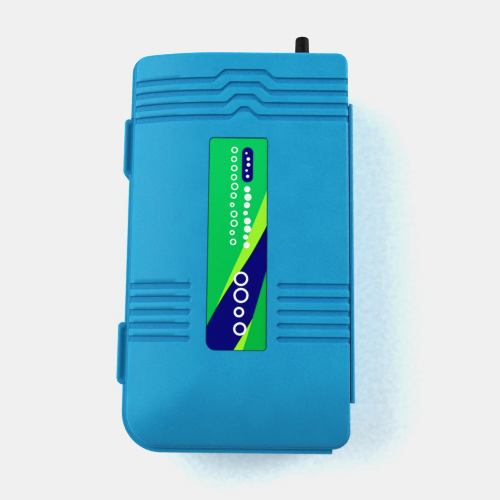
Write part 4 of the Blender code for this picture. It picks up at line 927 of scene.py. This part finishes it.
def hinge():
    """The folded web of the living hinge. Its outer face has fine ribs along its length."""
    low, high = span("hinge_web")
    centre = (high[0] - WEB_RADIUS, low[2] + WEB_RADIUS)
    outer, inner = [], []
    for i in range(WEB_STEPS + 1):
        angle = -90 + 180 * i / WEB_STEPS
        fold = WEB_RIB * math.cos(math.radians(angle * WEB_RIBS)) - WEB_RIB
        outer += arc(centre, WEB_RADIUS + fold, angle, angle, 1)[:1]
        inner += arc(centre, WEB_RADIUS - WEB_THICK, angle, angle, 1)[:1]
    foot = [(low[0], centre[1] - WEB_RADIUS + WEB_THICK), (low[0], centre[1] - WEB_RADIUS)]
    outline = outer + inner[::-1] + foot
    places = [low[1]] + evenly(low[1] + 0.25, high[1] - 0.25, 6.0) + [high[1]]
    rings = []
    for place in places:
        edge = place in (places[0], places[-1])
        rings.append([(x - (0.12 if edge and x > centre[0] + 1 else 0.0), place, z) for x, z in outline])
    web = smooth(loft("web", rings, BLUE), 40)
    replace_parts(web, "hinge_web")
    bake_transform(web)


def nozzle():
    """The air outlet: collar, tapered spout with a soft tip and a bore."""
    low, high = span("outlet_nozzle")
    x, _, z = middle("outlet_nozzle")
    barb, collar, tip, bore = low[1], HIGH_END, high[1], 1.1
    profile = [(bore, barb), (1.6, barb), (1.9, barb + 1.4), (1.6, barb + 2.6), (1.6, barb + 6.8)]
    profile += [(3.0, barb + 6.8), (3.0, collar)] + arc((0, collar + 0.4), 4.6, -5, 0, 1)
    profile += arc((4.2, collar + 1.6), 0.4, 0, 90, 4) + [(3.6, collar + 2.0), (3.3, collar + 2.2)]
    profile += arc((2.1, tip - 0.85), 0.85, 5, 90, 8) + [(bore + 0.25, tip), (bore, tip - 0.25)]
    made = turned("air_outlet", profile, (x, z), "Y", BLACK, 64, bored=True)
    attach(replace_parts(made, "outlet_nozzle"), "case")


def diaphragm():
    """The pump's diaphragm: its rim is clamped to the pump head and its middle follows the rocker."""
    low, high = span("diaphragm")
    x, y, _ = middle("diaphragm")
    rim, foot, top = high[0] - x, low[2], high[2]
    held = foot + 0.8
    profile = [(rim, foot), (rim, held), (8.4, held)] + arc((7.0, held + 0.7), 0.6, 20, 160, 8)
    profile += [(5.4, held + 0.3), (3.5, held + 0.3), (3.2, held + 0.6), (3.0, top - 0.2), (2.8, top)]
    profile += [(1.0, top), (1.0, foot + 0.2), (5.8, foot + 0.2)] + arc((7.0, held + 0.1), 0.3, 150, 30, 4)
    made = turned("pump_diaphragm", profile + [(8.0, foot)], (x, y), "Z", RUBBER, 64, bored=True)
    made = softened(made, 0.08, 2)
    for screw in ("head_screw_near", "head_screw_far"):
        place = middle(screw)
        drill(made, 1.2, place[:2], "Z", foot - 1, top)
    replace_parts(made, "diaphragm")
    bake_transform(smooth(made))


# CAD nodes that stay ----------------------------------------------------------------------------------
CAD_EDGE = 0.1  # width of the small bevel on their edges ...
BEVEL_ANGLE = 40.0  # ... which is given to edges sharper than this, in degrees
WELD_GAP = 0.002
FLAT_ANGLE = 0.5  # faces that meet at less than this, in degrees, become one


def dress(node, material, edge):
    """A CAD node with its finish and softly rounded edges."""
    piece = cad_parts[node]
    for place in piece.material_slots:
        place.material = material
    weld = piece.modifiers.new("weld", "WELD")
    weld.merge_threshold = WELD_GAP * MM
    flat = piece.modifiers.new("flat", "DECIMATE")
    flat.decimate_type = "DISSOLVE"
    flat.angle_limit = math.radians(FLAT_ANGLE)
    if edge:
        bevel = piece.modifiers.new("edges", "BEVEL")
        bevel.width = edge * MM
        bevel.segments = 2
        bevel.limit_method = "ANGLE"
        bevel.angle_limit = math.radians(BEVEL_ANGLE)
    piece.modifiers.new("normals", "WEIGHTED_NORMAL")


def dress_all():
    """Every CAD node that shows as it is."""
    finishes = {
        "battery_tray": BLUE, "mechanism_cover": BLUE, "motor_saddle": BLUE, "rocker_bracket": BLUE,
        "latch_pin_upper": STEEL, "latch_pin_lower": STEEL, "nozzle_seal": RUBBER, "nozzle_nut": STEEL,
        "switch_body": BLACK, "switch_knob": BLACK, "switch_screw_left": STEEL, "switch_screw_right": STEEL,
        "intake_filter": felt("felt"), "cell_left": jacket("cell_sleeve_left", "cell_left"),
        "cell_right": jacket("cell_sleeve_right", "cell_right"), "contact_positive": NICKEL,
        "contact_negative": NICKEL, "contact_bridge": NICKEL, "spring_bridge": NICKEL,
        "spring_negative": NICKEL, "motor_can": STEEL, "motor_end_cap": BLACK, "motor_magnet_lower": FERRITE,
        "motor_magnet_upper": FERRITE, "motor_rotor": COPPER, "motor_commutator": COPPER,
        "motor_shaft": STEEL, "eccentric": BLACK, "eccentric_bearing": STEEL, "motor_sleeve": RUBBER,
        "motor_strap": STEEL, "strap_screw_lower": STEEL, "strap_screw_upper": STEEL, "rocker_arm": WHITE,
        "rocker_pin": STEEL, "pump_head": WHITE, "inlet_flap": RUBBER, "outlet_flap": RUBBER,
        "head_gasket": RUBBER, "clamp_ring": WHITE, "head_screw_near": STEEL,
        "head_screw_far": STEEL, "diaphragm_washer": STEEL, "diaphragm_screw": STEEL,
        "air_tube": soft_silicone("silicone"), "wire_positive": RED_WIRE, "wire_switch": RED_WIRE,
        "wire_negative": BLACK_WIRE,
    }
    finishes.update({f"cover_screw_{number}": STEEL for number in range(1, 5)})
    round_pieces = ("wire_positive", "wire_switch", "wire_negative", "air_tube")
    round_pieces += ("spring_bridge", "spring_negative")
    for node, material in finishes.items():
        dress(node, material, edge=0.0 if node in round_pieces else CAD_EDGE)


# Stage ------------------------------------------------------------------------------------------------
CONTRAST = 1.5  # exponent of the tone curve
WHITE_LEVEL = 0.87  # what pure white is held to
# The green channel's own curve: mid-dark tones lose a little green, and light ones keep theirs.
GREEN_CURVE = ((0.2, 0.19), (0.35, 0.325), (0.45, 0.42), (0.52, 0.503), (0.6, 0.598))
GREEN_CURVE += ((0.66, 0.66), (0.8, 0.8))
FLOOR_REACH, FLOOR_DROP = 1500.0, 0.05
SKY, SKY_STRENGTH = (0.92, 0.96, 1.0, 1.0), 0.57
CAMERA_SPOT, CAMERA_TILT, CAMERA_TURN = (0.0048, -0.04335, 0.348), 7.74, 0.6  # metres and degrees
CAMERA_LENS, SENSOR_WIDTH = 55.8, 36.0


def stage():
    """A pale floor, soft light from the upper left, a weaker one from the right, and the camera above."""
    sides = ((-1, -1), (1, -1), (1, 1), (-1, 1))
    corners = [(a * FLOOR_REACH, b * FLOOR_REACH, -FLOOR_DROP) for a, b in sides]
    floor = make("floor", corners, [(0, 1, 2, 3)], table_top("floor_paper"))

    def lamp(name, spot, size, power, tint):
        data = bpy.data.lights.new(name, "AREA")
        data.shape = "DISK"
        data.size = size
        data.energy = power
        data.color = tint
        made = bpy.data.objects.new(name, data)
        made.location = spot
        made.rotation_euler = (Vector((0.0, 0.0, 0.02)) - Vector(spot)).to_track_quat("-Z", "Y").to_euler()
        bpy.context.scene.collection.objects.link(made)

    lamp("key", (-1.2, 0.45, 1.1), 1.5, 29.5, (1.0, 0.99, 0.96))
    lamp("fill", (1.1, 0.55, 0.45), 0.7, 13.0, (1.0, 0.98, 0.96))
    world = bpy.data.worlds.new("studio")
    world.use_nodes = True
    world.node_tree.nodes["Background"].inputs["Color"].default_value = SKY
    world.node_tree.nodes["Background"].inputs["Strength"].default_value = SKY_STRENGTH
    bpy.context.scene.world = world
    look = bpy.context.scene.view_settings
    look.view_transform = "Standard"
    look.use_curve_mapping = True
    look.curve_mapping.extend = "HORIZONTAL"
    tone = look.curve_mapping.curves[3]
    for place in (0.08, 0.16, 0.25, 0.35, 0.5, 0.65, 0.8, 0.92):
        tone.points.new(place, WHITE_LEVEL * place**CONTRAST)
    tone.points[-1].location = (1.0, WHITE_LEVEL)
    green = look.curve_mapping.curves[1]
    for place, level in GREEN_CURVE:
        green.points.new(place, level)
    look.curve_mapping.update()

    data = bpy.data.cameras.new("camera")
    data.sensor_width = SENSOR_WIDTH
    data.lens = CAMERA_LENS
    data.clip_start = 0.01
    camera = bpy.data.objects.new("camera", data)
    camera.location = CAMERA_SPOT
    camera.rotation_euler = (math.radians(CAMERA_TILT), 0.0, math.radians(CAMERA_TURN))
    bpy.context.scene.collection.objects.link(camera)
    bpy.context.scene.camera = camera


lid_cover()
label()
base()
for latch_node in ("latch_lower", "latch_upper"):
    latch(latch_node)
hinge()
nozzle()
diaphragm()
dress_all()
stage()
